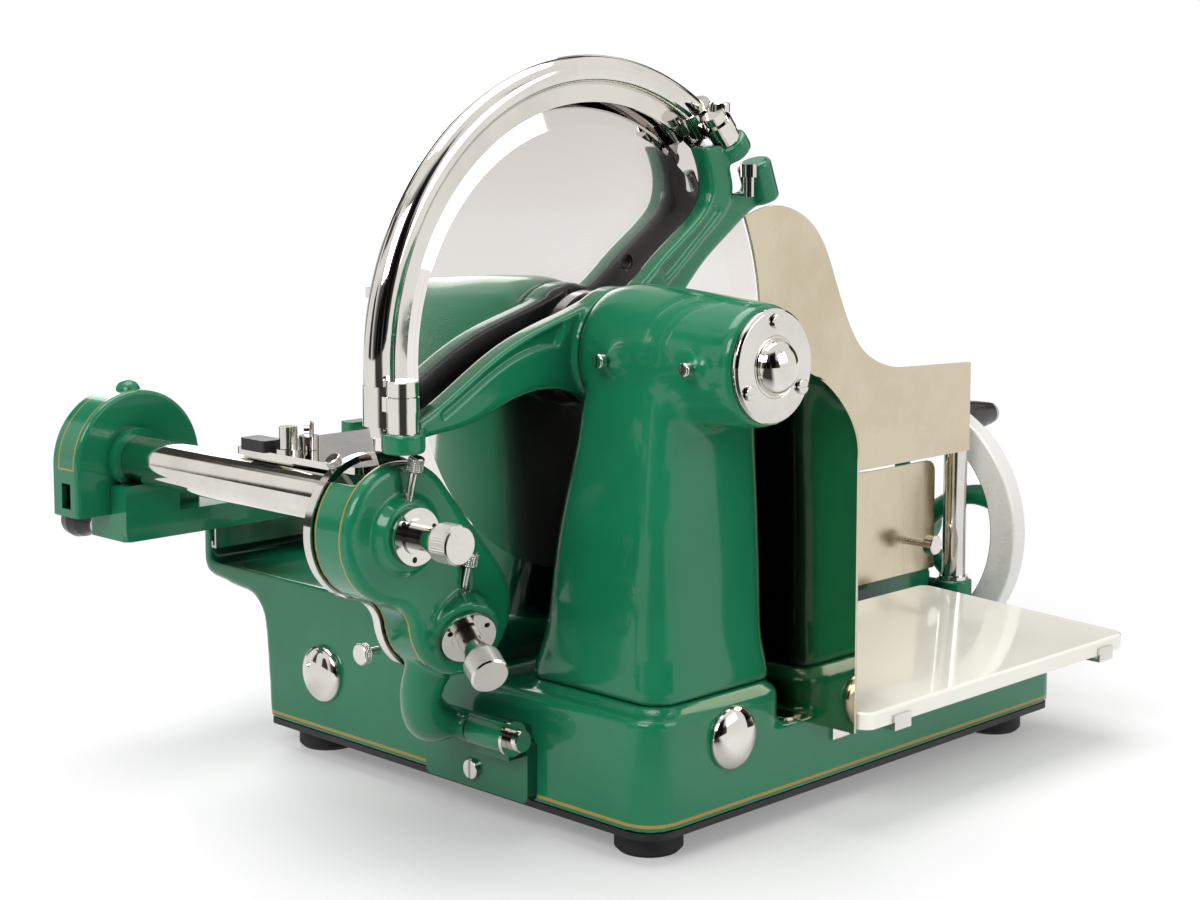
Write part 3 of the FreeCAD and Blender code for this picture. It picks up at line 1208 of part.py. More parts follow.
def flange_ring(seat, way):
    """A nickel flange with a raised collar and three fixing holes."""
    ring_shape = Part.makeCylinder(flange_r, 4, seat, way)
    ring_shape = ring_shape.fuse(Part.makeCylinder(10, 5.5, seat, way))
    turn = FreeCAD.Rotation(V(0, 0, 1), way)
    for i in range(3):
        angle = math.radians(120 * i + 20)
        offset = turn.multVec(V(12.6 * math.cos(angle), 12.6 * math.sin(angle), 0))
        ring_shape = ring_shape.cut(Part.makeCylinder(1.7, 6, seat + offset, way))
    return ring_shape.cut(Part.makeCylinder(7 + run_gap, 12, seat - way * 2, way))


flanges = [flange_ring(up_face, up_way), flange_ring(low_face, low_way)]
solid("stone_flanges", Part.makeCompound(flanges))
knob_r = size("knob_radius")


def stone_knob(seat, way, inner):
    """A polished sleeve with a knurled head; it presses the stone to the edge."""
    sleeve = Part.makeCylinder(7, inner + 27, seat - way * inner, way)
    head_start = seat + way * 24
    grip = Part.makeCylinder(knob_r, 15, head_start, way)
    grip = grip.makeChamfer(1, [e for e in grip.Edges if e.Closed])
    neck = Part.makeCylinder(8.4, 4, head_start - way * 4, way)
    return sleeve.fuse([neck, grip]).cut(
        Part.makeCylinder(spindle_r + run_gap, inner + 12, seat - way * (inner + 1), way))


UP_REACH = 10.6                 # from the flange in to the sleeve's inner end
LOW_REACH = 19.5
solid("upper_stone_knob", stone_knob(up_face, up_way, UP_REACH))
solid("lower_stone_knob", stone_knob(low_face, low_way, LOW_REACH))
stone_r = size("stone_radius")


def grinding_stone(seat, way, inner, thickness):
    """A stone disc on the arbor that turns in its knob's sleeve."""
    disc_back = seat - way * (inner + 1)
    disc = Part.makeCylinder(stone_r, thickness, disc_back, way * -1)
    arbor = Part.makeCylinder(spindle_r, inner + 10, disc_back, way)
    return disc.fuse(arbor)


solid("upper_stone", grinding_stone(up_face, up_way, UP_REACH, 4.5))
solid("lower_stone", grinding_stone(low_face, low_way, LOW_REACH, 4))


def lock_screw(seat, tilt_way):
    """A knurled thumbscrew that locks a stone's sleeve."""
    stem = Part.makeCylinder(2.2, 20, seat, tilt_way)
    grip = Part.makeCylinder(4.6, 8.5, seat + tilt_way * 17, tilt_way)
    return stem.fuse(grip.makeChamfer(0.8, [e for e in grip.Edges if e.Closed]))


def band_thumb(seat, way, radius, stem):
    """A thumbscrew that draws the band tight: a stem and a knurled disc."""
    shape = Part.makeCylinder(2.4, stem + 2, seat, way)
    disc = Part.makeCylinder(radius, 5, seat + way * stem, way)
    return shape.fuse(disc.makeChamfer(0.7, [e for e in disc.Edges if e.Closed]))


upright = V(0.05, -0.25, 1)
upright.normalize()
lock_screws = [
    lock_screw(V(stone_x, house_f - 3.4, stone_z + 19), upright),
    lock_screw(low_seat + low_way * 7 + V(2, 2, 18.4), upright),
    band_thumb(V(-148, house_b + 3.2, 118), V(-1, 0, 0), 6.2, 9),
    band_thumb(V(-174, house_b + 3.2, 223), V(-0.55, 0, 0.83), 4.4, 5),
]
solid("sharpener_screws", Part.makeCompound(lock_screws))
solid("sharpener_housing", house.cut(flanges + lock_screws))
solid("sharpener_band", band.cut(lock_screws))

# EXPORT
doc.recompute()
for item in doc.Objects:
    if "Invalid" in item.State or "Error" in item.State:
        raise RuntimeError("%s did not compute" % item.Label)
for item in nodes:
    if item.Shape.isNull() or not item.Shape.isValid():
        raise RuntimeError("%s has no valid shape" % item.Label)
    shape = item.Shape.copy()
    shape.translate(V(-size("foot_x"), -size("foot_y"), 0))
    shape.exportStep("parts/%s.step" % item.Label)
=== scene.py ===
import json
import math

import bmesh
import bpy
from mathutils import Matrix, Vector

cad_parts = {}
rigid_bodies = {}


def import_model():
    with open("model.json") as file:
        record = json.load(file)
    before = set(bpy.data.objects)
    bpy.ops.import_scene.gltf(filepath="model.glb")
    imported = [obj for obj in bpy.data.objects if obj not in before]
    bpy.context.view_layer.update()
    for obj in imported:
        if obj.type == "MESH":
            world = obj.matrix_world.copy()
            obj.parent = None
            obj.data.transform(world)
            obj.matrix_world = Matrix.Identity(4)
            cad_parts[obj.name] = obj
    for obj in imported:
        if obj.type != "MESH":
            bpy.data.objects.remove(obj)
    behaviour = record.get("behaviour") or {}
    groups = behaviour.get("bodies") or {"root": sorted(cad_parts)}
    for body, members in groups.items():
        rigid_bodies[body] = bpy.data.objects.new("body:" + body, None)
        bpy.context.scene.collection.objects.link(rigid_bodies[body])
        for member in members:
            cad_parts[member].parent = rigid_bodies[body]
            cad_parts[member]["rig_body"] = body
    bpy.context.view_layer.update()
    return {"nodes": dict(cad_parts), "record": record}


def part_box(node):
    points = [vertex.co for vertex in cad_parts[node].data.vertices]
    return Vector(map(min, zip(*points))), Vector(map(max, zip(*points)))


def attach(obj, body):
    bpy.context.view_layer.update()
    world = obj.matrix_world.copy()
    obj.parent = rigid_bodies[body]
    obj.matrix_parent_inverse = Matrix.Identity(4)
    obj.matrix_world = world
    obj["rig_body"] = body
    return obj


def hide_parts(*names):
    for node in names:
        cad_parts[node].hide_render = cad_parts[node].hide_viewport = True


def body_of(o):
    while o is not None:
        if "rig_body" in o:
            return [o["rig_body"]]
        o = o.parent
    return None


# Looks of the hand cranked meat slicer.  Metres, in the frame of the CAD model.

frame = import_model()
NODES = frame["nodes"]
rows = {row["node"]: row for row in frame["record"]["subparts"]}

# --------------------------------------------------------------------- places
UNDER_BLADE = Vector((34, 91, 0))


def at(x, y, z):
    """A point from millimetres about the point on the table under the blade's centre."""
    return (Vector((x, y, z)) + UNDER_BLADE) / 1000


FRONT = Vector((0, -1, 0))
LEFT = Vector((-1, 0, 0))
LINE = 0.001                        # width of a thin gold line

BLADE_CENTRE = at(0, 0, 280)
BEVEL_FROM = 0.133                  # radius at which the ground bevel starts
SHADED_HEIGHTS = (0.32, 0.43)               # heights between which the blade's face turns greyer with painted shade
HOLE_SEAT = at(34, -5, 329.4)

WHEEL_CENTRE = at(0, 75, 105)
RIM_FROM = 0.0805                   # radius at which the handwheel's pale rim starts
FENCE_FROM = at(0, 97, 0).y         # the fence stands behind this place on the table

HOUSING_RIMS = (at(0, -15.6, 0).y, at(0, 5.2, 0).y)
HOUSING_LEG = 0.112                 # the leg below this height has no lines
COVER_RIMS = (at(0, 248.6, 0).y, at(0, 265.4, 0).y)
COVER_LINE_END = 0.1975             # height of the frame's lower line on the feed cover
FOOT_LINE = (0.0034, 0.0053)        # the base's gold line, over the foot of the casting
AT_BLADE = 0.35                     # the spider gets near-black painted shade where its normal's y is over this

CAP_SEAT = at(0, -150, 280)
FRONT_PORT = at(3, -121, 63.5)
SIDE_PORT = at(-64, 170, 59.5)
VENT_SEAT = at(-66, 176, 66)


# ------------------------------------------------------------------ materials
def srgb(r, g, b):
    """A linear colour from 0..255 display values."""
    def channel(v):
        v /= 255
        return v / 12.92 if v <= 0.04045 else ((v + 0.055) / 1.055) ** 2.4
    return (channel(r), channel(g), channel(b), 1)


def scaled(tone, factor):
    """The colour made darker or lighter by a factor."""
    return tuple(factor * c for c in tone[:3]) + (1,)


class Shader:
    """A small helper that builds one node material around a Principled BSDF."""

    def __init__(self, name):
        self.material = bpy.data.materials.new(name)
        self.material.use_nodes = True
        self.tree = self.material.node_tree
        self.bsdf = self.tree.nodes["Principled BSDF"]
        self.where = self.node("ShaderNodeTexCoord")
        self.coords = self.where.outputs["Object"]

    def node(self, kind, **settings):
        item = self.tree.nodes.new(kind)
        for key, value in settings.items():
            if key in item.inputs:
                item.inputs[key].default_value = value
            else:
                setattr(item, key, value)
        return item

    def link(self, out, into):
        self.tree.links.new(out, into)

    def set(self, **values):
        for key, value in values.items():
            self.bsdf.inputs[key.replace("_", " ")].default_value = value

    def noise(self, scale, detail=4, rough=0.55, stretch=None):
        source = self.coords
        if stretch:
            mapping = self.node("ShaderNodeMapping")
            mapping.inputs["Scale"].default_value = stretch
            self.link(source, mapping.inputs["Vector"])
            source = mapping.outputs["Vector"]
        item = self.node("ShaderNodeTexNoise", Scale=scale, Detail=detail, Roughness=rough)
        self.link(source, item.inputs["Vector"])
        return item.outputs["Fac"]

    def span(self, value, low, high, out_low, out_high):
        item = self.node("ShaderNodeMapRange")
        self.link(value, item.inputs["Value"])
        for key, number in (("From Min", low), ("From Max", high), ("To Min", out_low),
                            ("To Max", out_high)):
            item.inputs[key].default_value = number
        return item.outputs["Result"]

    def math(self, operation, a, b=0.0):
        item = self.node("ShaderNodeMath", operation=operation)
        for socket, value in zip(item.inputs, (a, b)):
            if isinstance(value, (int, float)):
                socket.default_value = value
            else:
                self.link(value, socket)
        return item.outputs["Value"]

    def mix(self, factor, a, b):
        item = self.node("ShaderNodeMix", data_type="RGBA")
        self.link(factor, item.inputs[0])
        for socket, value in ((item.inputs[6], a), (item.inputs[7], b)):
            if isinstance(value, tuple):
                socket.default_value = value
            else:
                self.link(value, socket)
        return item.outputs[2]

    def axes(self, output="Object"):
        """The x, y and z of a texture coordinate."""
        split = self.node("ShaderNodeSeparateXYZ")
        self.link(self.where.outputs[output], split.inputs["Vector"])
        return [split.outputs[axis] for axis in "XYZ"]

    def inside(self, value, low, high):
        """1 where the value lies between low and high, and 0 elsewhere."""
        return self.math("MULTIPLY", self.math("GREATER_THAN", value, low),
                         self.math("LESS_THAN", value, high))

    def radius(self, x, y, x0, y0):
        """Distance in a plane from the point (x0, y0)."""
        dx = self.math("SUBTRACT", x, x0)
        dy = self.math("SUBTRACT", y, y0)
        return self.math("SQRT", self.math("ADD", self.math("MULTIPLY", dx, dx),
                                           self.math("MULTIPLY", dy, dy)))

    def along(self, origin, way):
        """Distance of the shaded point along a direction from an origin."""
        away = self.node("ShaderNodeVectorMath", operation="SUBTRACT")
        self.link(self.coords, away.inputs[0])
        away.inputs[1].default_value = origin
        part = self.node("ShaderNodeVectorMath", operation="DOT_PRODUCT")
        self.link(away.outputs["Vector"], part.inputs[0])
        part.inputs[1].default_value = way
        return part.outputs["Value"]

    def knurl(self, origin, way, low, high, radius, count):
        """Diamond knurling about an axis, between two distances along it."""
        way = way.normalized()
        side = way.orthogonal().normalized()
        height = self.along(origin, way)
        angle = self.math("ARCTAN2", self.along(origin, way.cross(side)), self.along(origin, side))
        twist = self.math("DIVIDE", height, radius)
        turns = [self.math("SINE", self.math("MULTIPLY", self.math(step, angle, twist), count))
                 for step in ("ADD", "SUBTRACT")]
        return self.math("MULTIPLY", self.math("MULTIPLY", *turns),
                         self.inside(height, low, high))

    def between(self, noise, low, high):
        """A value that wanders with a noise between two numbers."""
        return self.span(noise, 0.3, 0.7, low, high)

    def mottled(self, noise, tone, other):
        """A colour that wanders with a noise between two."""
        return self.mix(self.between(noise, 0, 1), tone, other)

    def colour(self, value):
        self.link(value, self.bsdf.inputs["Base Color"])

    def roughness(self, value):
        self.link(value, self.bsdf.inputs["Roughness"])

    def surface(self, share, first, second):
        """Mixes two shaders, by the share that the second takes, into the material's surface."""
        blend = self.node("ShaderNodeMixShader")
        self.link(share, blend.inputs[0])
        self.link(first.outputs[0], blend.inputs[1])
        self.link(second.outputs[0], blend.inputs[2])
        self.link(blend.outputs[0], self.tree.nodes["Material Output"].inputs["Surface"])

    def bump(self, height, strength, distance=0.001):
        item = self.node("ShaderNodeBump", Strength=strength, Distance=distance)
        self.link(height, item.inputs["Height"])
        self.link(item.outputs["Normal"], self.bsdf.inputs["Normal"])


GREEN_SHADE = srgb(2, 24, 15)
GREEN_DEEP = srgb(20, 108, 73)
GREEN_LIGHT = srgb(27, 122, 85)
GOLD = srgb(166, 132, 56)
UNLIT = srgb(6, 14, 10)


def enamel(name="green_enamel", marks=None, line_or_shade_tone=GOLD, alone=False):
    """Thick glossy machine enamel with a faint orange peel; marks(shader) gives the places of gold
    lines, or of painted shade on the spider, in the given tone.

    Hollows get painted shade: ambient occlusion darkens them towards GREEN_SHADE; with alone, only
    those that the piece makes by itself.
    """
    s = Shader(name)
    paint = s.mottled(s.noise(9, 3), GREEN_DEEP, GREEN_LIGHT)
    reach, closed, free = (0.14, 0.55, 0.98) if alone else (0.08, 0.2, 0.78)
    # Painted shade: hollows turn darker, towards GREEN_SHADE, by ambient occlusion.
    painted_shade = s.node("ShaderNodeAmbientOcclusion", Distance=reach)
    painted_shade.samples = 8
    painted_shade.only_local = alone
    paint = s.mix(s.span(painted_shade.outputs["AO"], closed, free, 0, 1), GREEN_SHADE, paint)
    # Gold lines, or near-black painted shade on the spider's blade side.
    if marks:
        paint = s.mix(marks(s), paint, line_or_shade_tone)
    s.colour(paint)
    s.roughness(s.span(s.noise(35, 5), 0.3, 0.75, 0.14, 0.24))
    s.set(Coat_Weight=0.45, Coat_Roughness=0.04, Specular_IOR_Level=0.22)
    s.bump(s.noise(420, 2), 0.03)
    return s.material


def across(s, axis, limit):
    """1 on faces whose normal leans along an axis (0, 1 or 2) by less than the limit."""
    return s.math("LESS_THAN", s.math("ABSOLUTE", s.axes("Normal")[axis]), limit)


def rim_lines(s, places):
    """1 in a thin line from each place along y."""
    y = s.axes()[1]
    return s.math("ADD", *(s.inside(y, place, place + LINE) for place in places))


def base_line(s):
    """The gold line round the foot of the base."""
    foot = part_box("base_casting")[0].z
    low, high = FOOT_LINE
    return s.math("MULTIPLY", across(s, 2, 0.5), s.inside(s.axes()[2], foot + low, foot + high))


def housing_lines(s):
    """Gold lines along both rims of the sharpener housing."""
    lines = s.math("MULTIPLY", rim_lines(s, HOUSING_RIMS), across(s, 1, 0.6))
    return s.math("MULTIPLY", lines, s.math("GREATER_THAN", s.axes()[2], HOUSING_LEG))


def cover_lines(s):
    """A gold frame on the round back of the feed cover."""
    _, y, z = s.axes()
    front, back = COVER_RIMS
    rims = s.math("MULTIPLY", rim_lines(s, COVER_RIMS),
                  s.math("GREATER_THAN", z, COVER_LINE_END + LINE / 2))
    end = s.math("MULTIPLY", s.inside(z, COVER_LINE_END, COVER_LINE_END + LINE),
                 s.inside(y, front, back + LINE))
    return s.math("MULTIPLY", s.math("MAXIMUM", rims, end), across(s, 1, 0.6))


def shaded_blade_side(s):
    """The faces of the spider that look at the blade, which get near-black painted shade."""
    return s.math("GREATER_THAN", s.axes("Normal")[1], AT_BLADE)


def nickel(name, tone, smooth, worn, tarnish=None, heads=()):
    """Polished nickel plate with soft waves, fine wipe marks, tarnish and any knurled heads.

    smooth and worn bound its roughness.
    """
    s = Shader(name)
    s.set(Metallic=1.0)
    dull = tarnish or scaled(tone, 0.78)
    s.colour(s.mix(s.span(s.noise(14, 6, 0.65), 0.45, 0.8, 0, 1), tone, dull))
    wipes = s.noise(90, 6, 0.7, (1, 1, 0.12))
    s.roughness(s.span(wipes, 0.35, 0.75, smooth, worn))
    if heads:
        teeth = s.knurl(*heads[0])
        for head in heads[1:]:
            teeth = s.math("ADD", teeth, s.knurl(*head))
        s.bump(teeth, 0.9, 0.0005)
    else:
        s.bump(s.noise(60, 2), 0.04)
    return s.material


def blade_steel():
    """Turned disc: a mirror under a satin haze of fine rings, with a mirror ground bevel."""
    s = Shader("blade_steel")
    x, _, z = s.axes()
    radius = s.radius(x, z, BLADE_CENTRE.x, BLADE_CENTRE.z)
    rings = s.node("ShaderNodeTexNoise", noise_dimensions="1D", Scale=1400, Detail=3)
    s.link(radius, rings.inputs["W"])
    ring = rings.outputs["Fac"]
    pale = s.mottled(ring, srgb(230, 226, 223), srgb(241, 237, 234))
    # Painted shade: the face turns greyer towards the top.
    tone = s.mix(s.span(z, *SHADED_HEIGHTS, 0, 1), pale, srgb(206, 201, 198))
    s.set(Metallic=1.0)
    s.colour(tone)
    s.roughness(s.between(ring, 0.02, 0.04))
    s.bump(ring, 0.004, 0.0001)
    satin = s.node("ShaderNodeBsdfPrincipled", Metallic=1.0, Roughness=0.3, Anisotropic=0.6)
    s.link(tone, satin.inputs["Base Color"])
    tangent = s.node("ShaderNodeTangent", direction_type="RADIAL", axis="Y")
    s.link(tangent.outputs["Tangent"], satin.inputs["Tangent"])
    face = s.math("LESS_THAN", radius, BEVEL_FROM)
    s.surface(s.math("MULTIPLY", face, s.between(ring, 0.2, 0.25)), s.bsdf, satin)
    return s.material


def wheel_paint():
    """Green spokes and web inside a bright painted rim."""
    s = Shader("wheel_paint")
    _, y, z = s.axes()
    rim = s.math("GREATER_THAN", s.radius(y, z, WHEEL_CENTRE.y, WHEEL_CENTRE.z), RIM_FROM)
    s.colour(s.mix(rim, GREEN_DEEP, srgb(228, 227, 223)))
    s.link(s.math("MULTIPLY", rim, 0.15), s.bsdf.inputs["Metallic"])
    s.roughness(s.between(s.noise(60, 5), 0.24, 0.34))
    s.bump(s.noise(300, 2), 0.03)
    return s.material


def fence_and_studs():
    """The black fibre fence beside the nickel stud and screw on the table."""
    s = Shader("fence_and_studs")
    fence = s.math("GREATER_THAN", s.axes()[1], FENCE_FROM)
    s.colour(s.mix(fence, srgb(214, 209, 202), srgb(18, 18, 18)))
    s.link(s.math("SUBTRACT", 1.0, fence), s.bsdf.inputs["Metallic"])
    polish = s.between(s.noise(70, 4), 0.08, 0.14)
    s.roughness(s.math("ADD", s.math("MULTIPLY", fence, 0.35), polish))
    s.bump(s.noise(500, 3), 0.05)
    return s.material


def opal():
    """Cream opal glass with a wet gloss."""
    s = Shader("opal_glass")
    s.colour(s.mottled(s.noise(6, 3), srgb(236, 233, 219), srgb(241, 239, 228)))
    s.set(Coat_Weight=0.8, Coat_Roughness=0.03)
    s.roughness(s.between(s.noise(40, 4), 0.08, 0.16))
    s.bump(s.noise(25, 2), 0.02)
    return s.material


def dark(name, tone, low, high):
    """Dark rubber, iron or lacquer with a fine grain; low and high bound its roughness."""
    s = Shader(name)
    s.colour(s.mottled(s.noise(120, 5), tone, scaled(tone, 1.6)))
    s.roughness(s.between(s.noise(60, 4), low, high))
    s.bump(s.noise(700, 3), 0.15)
    return s.material


def brass():
    """Plain brass of the bushes."""
    s = Shader("bearing_brass")
    s.set(Metallic=1.0)
    s.colour(s.mottled(s.noise(40, 5), srgb(168, 128, 66), srgb(196, 158, 92)))
    s.roughness(s.between(s.noise(200, 3), 0.25, 0.4))
    return s.material


def abrasive():
    """Grey grinding grit."""
    s = Shader("grit_stone")
    grit = s.noise(1800, 2)
    s.colour(s.mix(s.span(grit, 0.35, 0.65, 0, 1), srgb(112, 104, 96), srgb(176, 168, 156)))
    s.roughness(s.between(grit, 0.8, 0.95))
    s.bump(grit, 0.5, 0.0005)
    return s.material


# Knurled heads: a point on the axis, its way, the knurl's two ends along it, its radius in
# metres and the number of teeth.  The lower stone leans in from its place outside the blade.
UPPER_FACE = at(-156, -29, 190)
LOWER_SEAT = at(-112, -16, 134)
OUTWARD = Vector((-111, 0, -141)).normalized()
LEAN = math.radians(31)
LOWER_WAY = OUTWARD * math.sin(LEAN) + FRONT * math.cos(LEAN)
LOWER_FACE = LOWER_SEAT + LOWER_WAY * 0.014
KNOB_KNURL = (0.025, 0.038, 0.011, 24)
UPRIGHT = Vector((0.05, -0.25, 1)).normalized()
LOCK_KNURL = (0.0178, 0.0248, 0.0046, 12)
UPPER_LOCK = at(-156, -25.4, 209)
LOWER_LOCK = LOWER_SEAT + LOWER_WAY * 0.007 + Vector((0.002, 0.002, 0.0184))
LOCK_HEADS = ((UPPER_LOCK, UPRIGHT, *LOCK_KNURL), (LOWER_LOCK, UPRIGHT, *LOCK_KNURL))
BAND_HEADS = ((at(-148, 11.2, 118), LEFT, 0.0094, 0.0136, 0.0062, 16),
              (at(-174, 11.2, 223), Vector((-0.55, 0, 0.83)), 0.0054, 0.0096, 0.0044, 12))

SILVER = srgb(222, 218, 212)
HANDLED = (0.08, 0.16)              # roughness of nickel that is often touched
GREEN = enamel()
BASE = enamel("base_enamel", base_line, alone=True)
HOUSING = enamel("housing_enamel", housing_lines)
COVER = enamel("cover_enamel", cover_lines)
SPIDER = enamel("spider_enamel", shaded_blade_side, UNLIT)
CHROME = nickel("polished_nickel", SILVER, smooth=0.04, worn=0.1)
UPPER_KNOB = nickel("upper_knob_nickel", SILVER, *HANDLED,
                    heads=((UPPER_FACE, FRONT, *KNOB_KNURL),))
LOWER_KNOB = nickel("lower_knob_nickel", SILVER, *HANDLED,
                    heads=((LOWER_FACE, LOWER_WAY, *KNOB_KNURL),))
THUMB = nickel("thumbscrew_nickel", SILVER, *HANDLED, heads=LOCK_HEADS + BAND_HEADS)
PLATE = nickel("nickel_plate", srgb(209, 198, 174), smooth=0.2, worn=0.32,
               tarnish=srgb(194, 182, 155))
SHEET = nickel("mirror_plate", srgb(206, 198, 176), smooth=0.03, worn=0.09,
               tarnish=srgb(148, 128, 88))
STEEL = nickel("ground_steel", srgb(190, 189, 187), smooth=0.16, worn=0.28)
BLADE = blade_steel()
OPAL = opal()
RUBBER = dark("black_rubber", srgb(20, 20, 20), low=0.6, high=0.75)
IRON = dark("black_iron", srgb(14, 14, 14), low=0.35, high=0.5)
GRIP = dark("black_handle", srgb(16, 15, 14), low=0.18, high=0.3)
BRASS = brass()
STONE = abrasive()

LOOKS = {
    "green": GREEN, "nickel": CHROME, "steel": STEEL, "blade_steel": BLADE, "opal": OPAL,
    "rubber": RUBBER, "iron": IRON, "brass": BRASS, "wood": GRIP, "stone": STONE,
}
SPECIAL = {
    "slice_deflector": SHEET, "gauge_plate": PLATE, "splash_plate": PLATE,
    "base_casting": BASE, "sharpener_housing": HOUSING, "feed_cover": COVER,
    "guard_spider": SPIDER, "upper_stone_knob": UPPER_KNOB, "lower_stone_knob": LOWER_KNOB,
    "sharpener_screws": THUMB, "handwheel": wheel_paint(), "table_fittings": fence_and_studs(),
}
for label, item in NODES.items():
    material = SPECIAL.get(label) or LOOKS[rows[label]["material_slot"]]
    for place in item.material_slots:
        place.material = material


# ------------------------------------------------------------------- castings
def applied(item):
    """Applies the item's modifiers and gives its new mesh."""
    bpy.context.view_layer.update()
    graph = bpy.context.evaluated_depsgraph_get()
    mesh = bpy.data.meshes.new_from_object(item.evaluated_get(graph))
    item.modifiers.clear()
    item.data = mesh
    return mesh


def added(name, mesh):
    """A new object in the scene."""
    item = bpy.data.objects.new(name, mesh)
    bpy.context.collection.objects.link(item)
    return item


def finish_mesh(mesh, material):
    """Smooth shading and one material."""
    mesh.polygons.foreach_set("use_smooth", [True] * len(mesh.polygons))
    mesh.materials.clear()
    mesh.materials.append(material)


def stands_for(item, node):
    """The item takes the place of a CAD node."""
    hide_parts(node)
    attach(item, body_of(NODES[node])[0])


def smoothed(item, name, passes):
    """A smoothing modifier on the item."""
    modifier = item.modifiers.new(name, "SMOOTH")
    modifier.factor = 0.5
    modifier.iterations = passes
    return modifier


def cast(node, voxel, passes, melt=None, extra=0):
    """A sand casting with soft edges in place of a CAD solid.

    melt(x, y, z), in millimetres about the blade's place, gives the share of the extra
    passes of smoothing that a point takes, where castings run into each other.
    """
    item = added(node + "_cast", NODES[node].data.copy())
    grid = item.modifiers.new("grid", "REMESH")
    grid.mode = "VOXEL"
    grid.voxel_size = voxel
    mesh = applied(item)
    smoothed(item, "soft", passes)
    if melt:
        group = item.vertex_groups.new(name="melt")
        for point in mesh.vertices:
            share = melt(*(point.co * 1000 - UNDER_BLADE))
            if share > 0:
                group.add([point.index], share, "REPLACE")
        smoothed(item, "fillet", extra).vertex_group = "melt"
    finish_mesh(applied(item), SPECIAL.get(node, GREEN))
    stands_for(item, node)


def ramp(value, low, high):
    """0 at low, 1 at high, and smooth between them."""
    share = min(max((value - low) / (high - low), 0), 1)
    return share * share * (3 - 2 * share)


def head_melt(_x, y, z):
    """Where the column runs into the head."""
    return ramp(z, 180, 250) * ramp(-z, -314, -294) * ramp(-y, 42, 54) * ramp(y, -142, -122)


def leg_melt(_x, _y, z):
    """Where the sharpener's leg runs into its housing."""
    return ramp(-z, -122, -106)


cast("column_head", voxel=0.0018, passes=12, melt=head_melt, extra=90)
cast("guard_spider", voxel=0.0012, passes=8)
cast("sharpener_housing", voxel=0.0013, passes=8, melt=leg_melt, extra=30)
cast("base_casting", voxel=0.0025, passes=4)


# -------------------------------------------------------------- turned pieces
def eased(corners, near=0.15, far=0.5):
    """The profile with each corner cut off and held by close points, so it shades crisply."""
    points = [Vector(corner) for corner in corners]
    held = [points[0]]
    for before, corner, after in zip(points, points[1:], points[2:]):
        for end, order in ((before, (far, near)), (after, (near, far))):
            way = end - corner
            room = way.length / 2
            for step in order:
                if step < room:
                    held.append(corner + way.normalized() * step)
    return held + [points[-1]]


def dome(edge, low, high, steps=20):
    """Profile points of an elliptical dome from its edge to just before its crown."""
    turn = math.pi / 2 / steps
    return [Vector((edge * math.cos(turn * i), low + (high - low) * math.sin(turn * i)))
            for i in range(1, steps)]


def lathe(name, profile, crown, seat, way, material, around=96):
    """A turned piece with its foot on seat; the profile is in millimetres."""
    mesh = bpy.data.meshes.new(name)
    shape = bmesh.new()
    loops = []
    for radius, height in profile:
        loops.append([shape.verts.new((radius * math.cos(math.tau * i / around),
                                       radius * math.sin(math.tau * i / around), height))
                      for i in range(around)])
    for lower, upper in zip(loops, loops[1:]):
        for i in range(around):
            j = (i + 1) % around
            shape.faces.new((lower[i], lower[j], upper[j], upper[i]))
    for loop, height, flip in ((loops[0], profile[0][1], True), (loops[-1], crown, False)):
        hub = shape.verts.new((0, 0, height))
        for i in range(around):
            ends = (loop[i], loop[(i + 1) % around])
            shape.faces.new((hub, *(reversed(ends) if flip else ends)))
    turn = Vector((0, 0, 1)).rotation_difference(way).to_matrix().to_4x4()
    shape.transform(Matrix.Translation(seat) @ turn @ Matrix.Scale(0.001, 4))
    shape.to_mesh(mesh)
    shape.free()
    finish_mesh(mesh, material)
    return added(name, mesh)


def head_cap():
    """The plate with a dome that closes the head."""
    edge, foot, crown = 15.6, 4.4, 14.5
    rim = [(31.6, 0), (32.4, 0.6), (32.4, 2.6), (31, 4), (19.5, 4.6), (17.9, 4.6), (16.8, 3.7),
           (edge, foot)]
    profile = eased(rim) + dome(edge, foot, crown)
    stands_for(lathe("head_cap_turned", profile, crown, CAP_SEAT, FRONT, CHROME), "head_cap")


def oil_covers():
    """Two domed covers, the one at the left end with a vent hole."""
    edge, foot, crown = 18.6, 1.5, 8.4
    profile = eased([(18.2, 0), (edge, 0.4), (edge, foot)]) + dome(edge, foot, crown)
    front = lathe("front_oil_cover", profile, crown, FRONT_PORT, FRONT, CHROME)
    side = lathe("side_oil_cover", profile, crown, SIDE_PORT, LEFT, CHROME)
    vent = lathe("vent", [(2, 0), (2, 8)], 8, VENT_SEAT, LEFT, CHROME, around=24)
    side.modifiers.new("vent", "BOOLEAN").object = vent
    applied(side)
    bpy.data.objects.remove(vent)
    for item in (front, side):
        stands_for(item, "oil_covers")


def hole_shade_plug():
    """A dark plug in the blade's own through hole, put there as painted shade for the dark inside
    of the hole.
    """
    profile = eased([(4.9, 0), (4.9, 1.2), (3.4, 1.6), (2.6, 0.9)])
    plug = lathe("blade_hole_shade_plug", profile, 0.6, HOLE_SEAT, FRONT, IRON, around=32)
    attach(plug, body_of(NODES["blade"])[0])


head_cap()
oil_covers()
hole_shade_plug()

# ------------------------------------------------------- floor, room and lamps
WHITE = (1, 1, 1, 1)
PALE_WALL = (1, 0.99, 0.97, 1)
FLOOR_REACH = 6.0
MIDDLE = at(140, 60, 0)             # the point on the floor under the middle of the machine
FADE = (0.3, 0.62)                  # distances from there between which the paper turns white

# Ways in which the room differs, seen from the machine.
CAMERA_SIDE = Vector((-0.71, -0.704, 0))
TO_CAMERA = (-0.703, -0.697, 0.14)
TO_RIGHT = (0.703, -0.697, 0.1)
BEHIND = (0.7, 0.7, 0.1)
UP = (0, 0, 1)


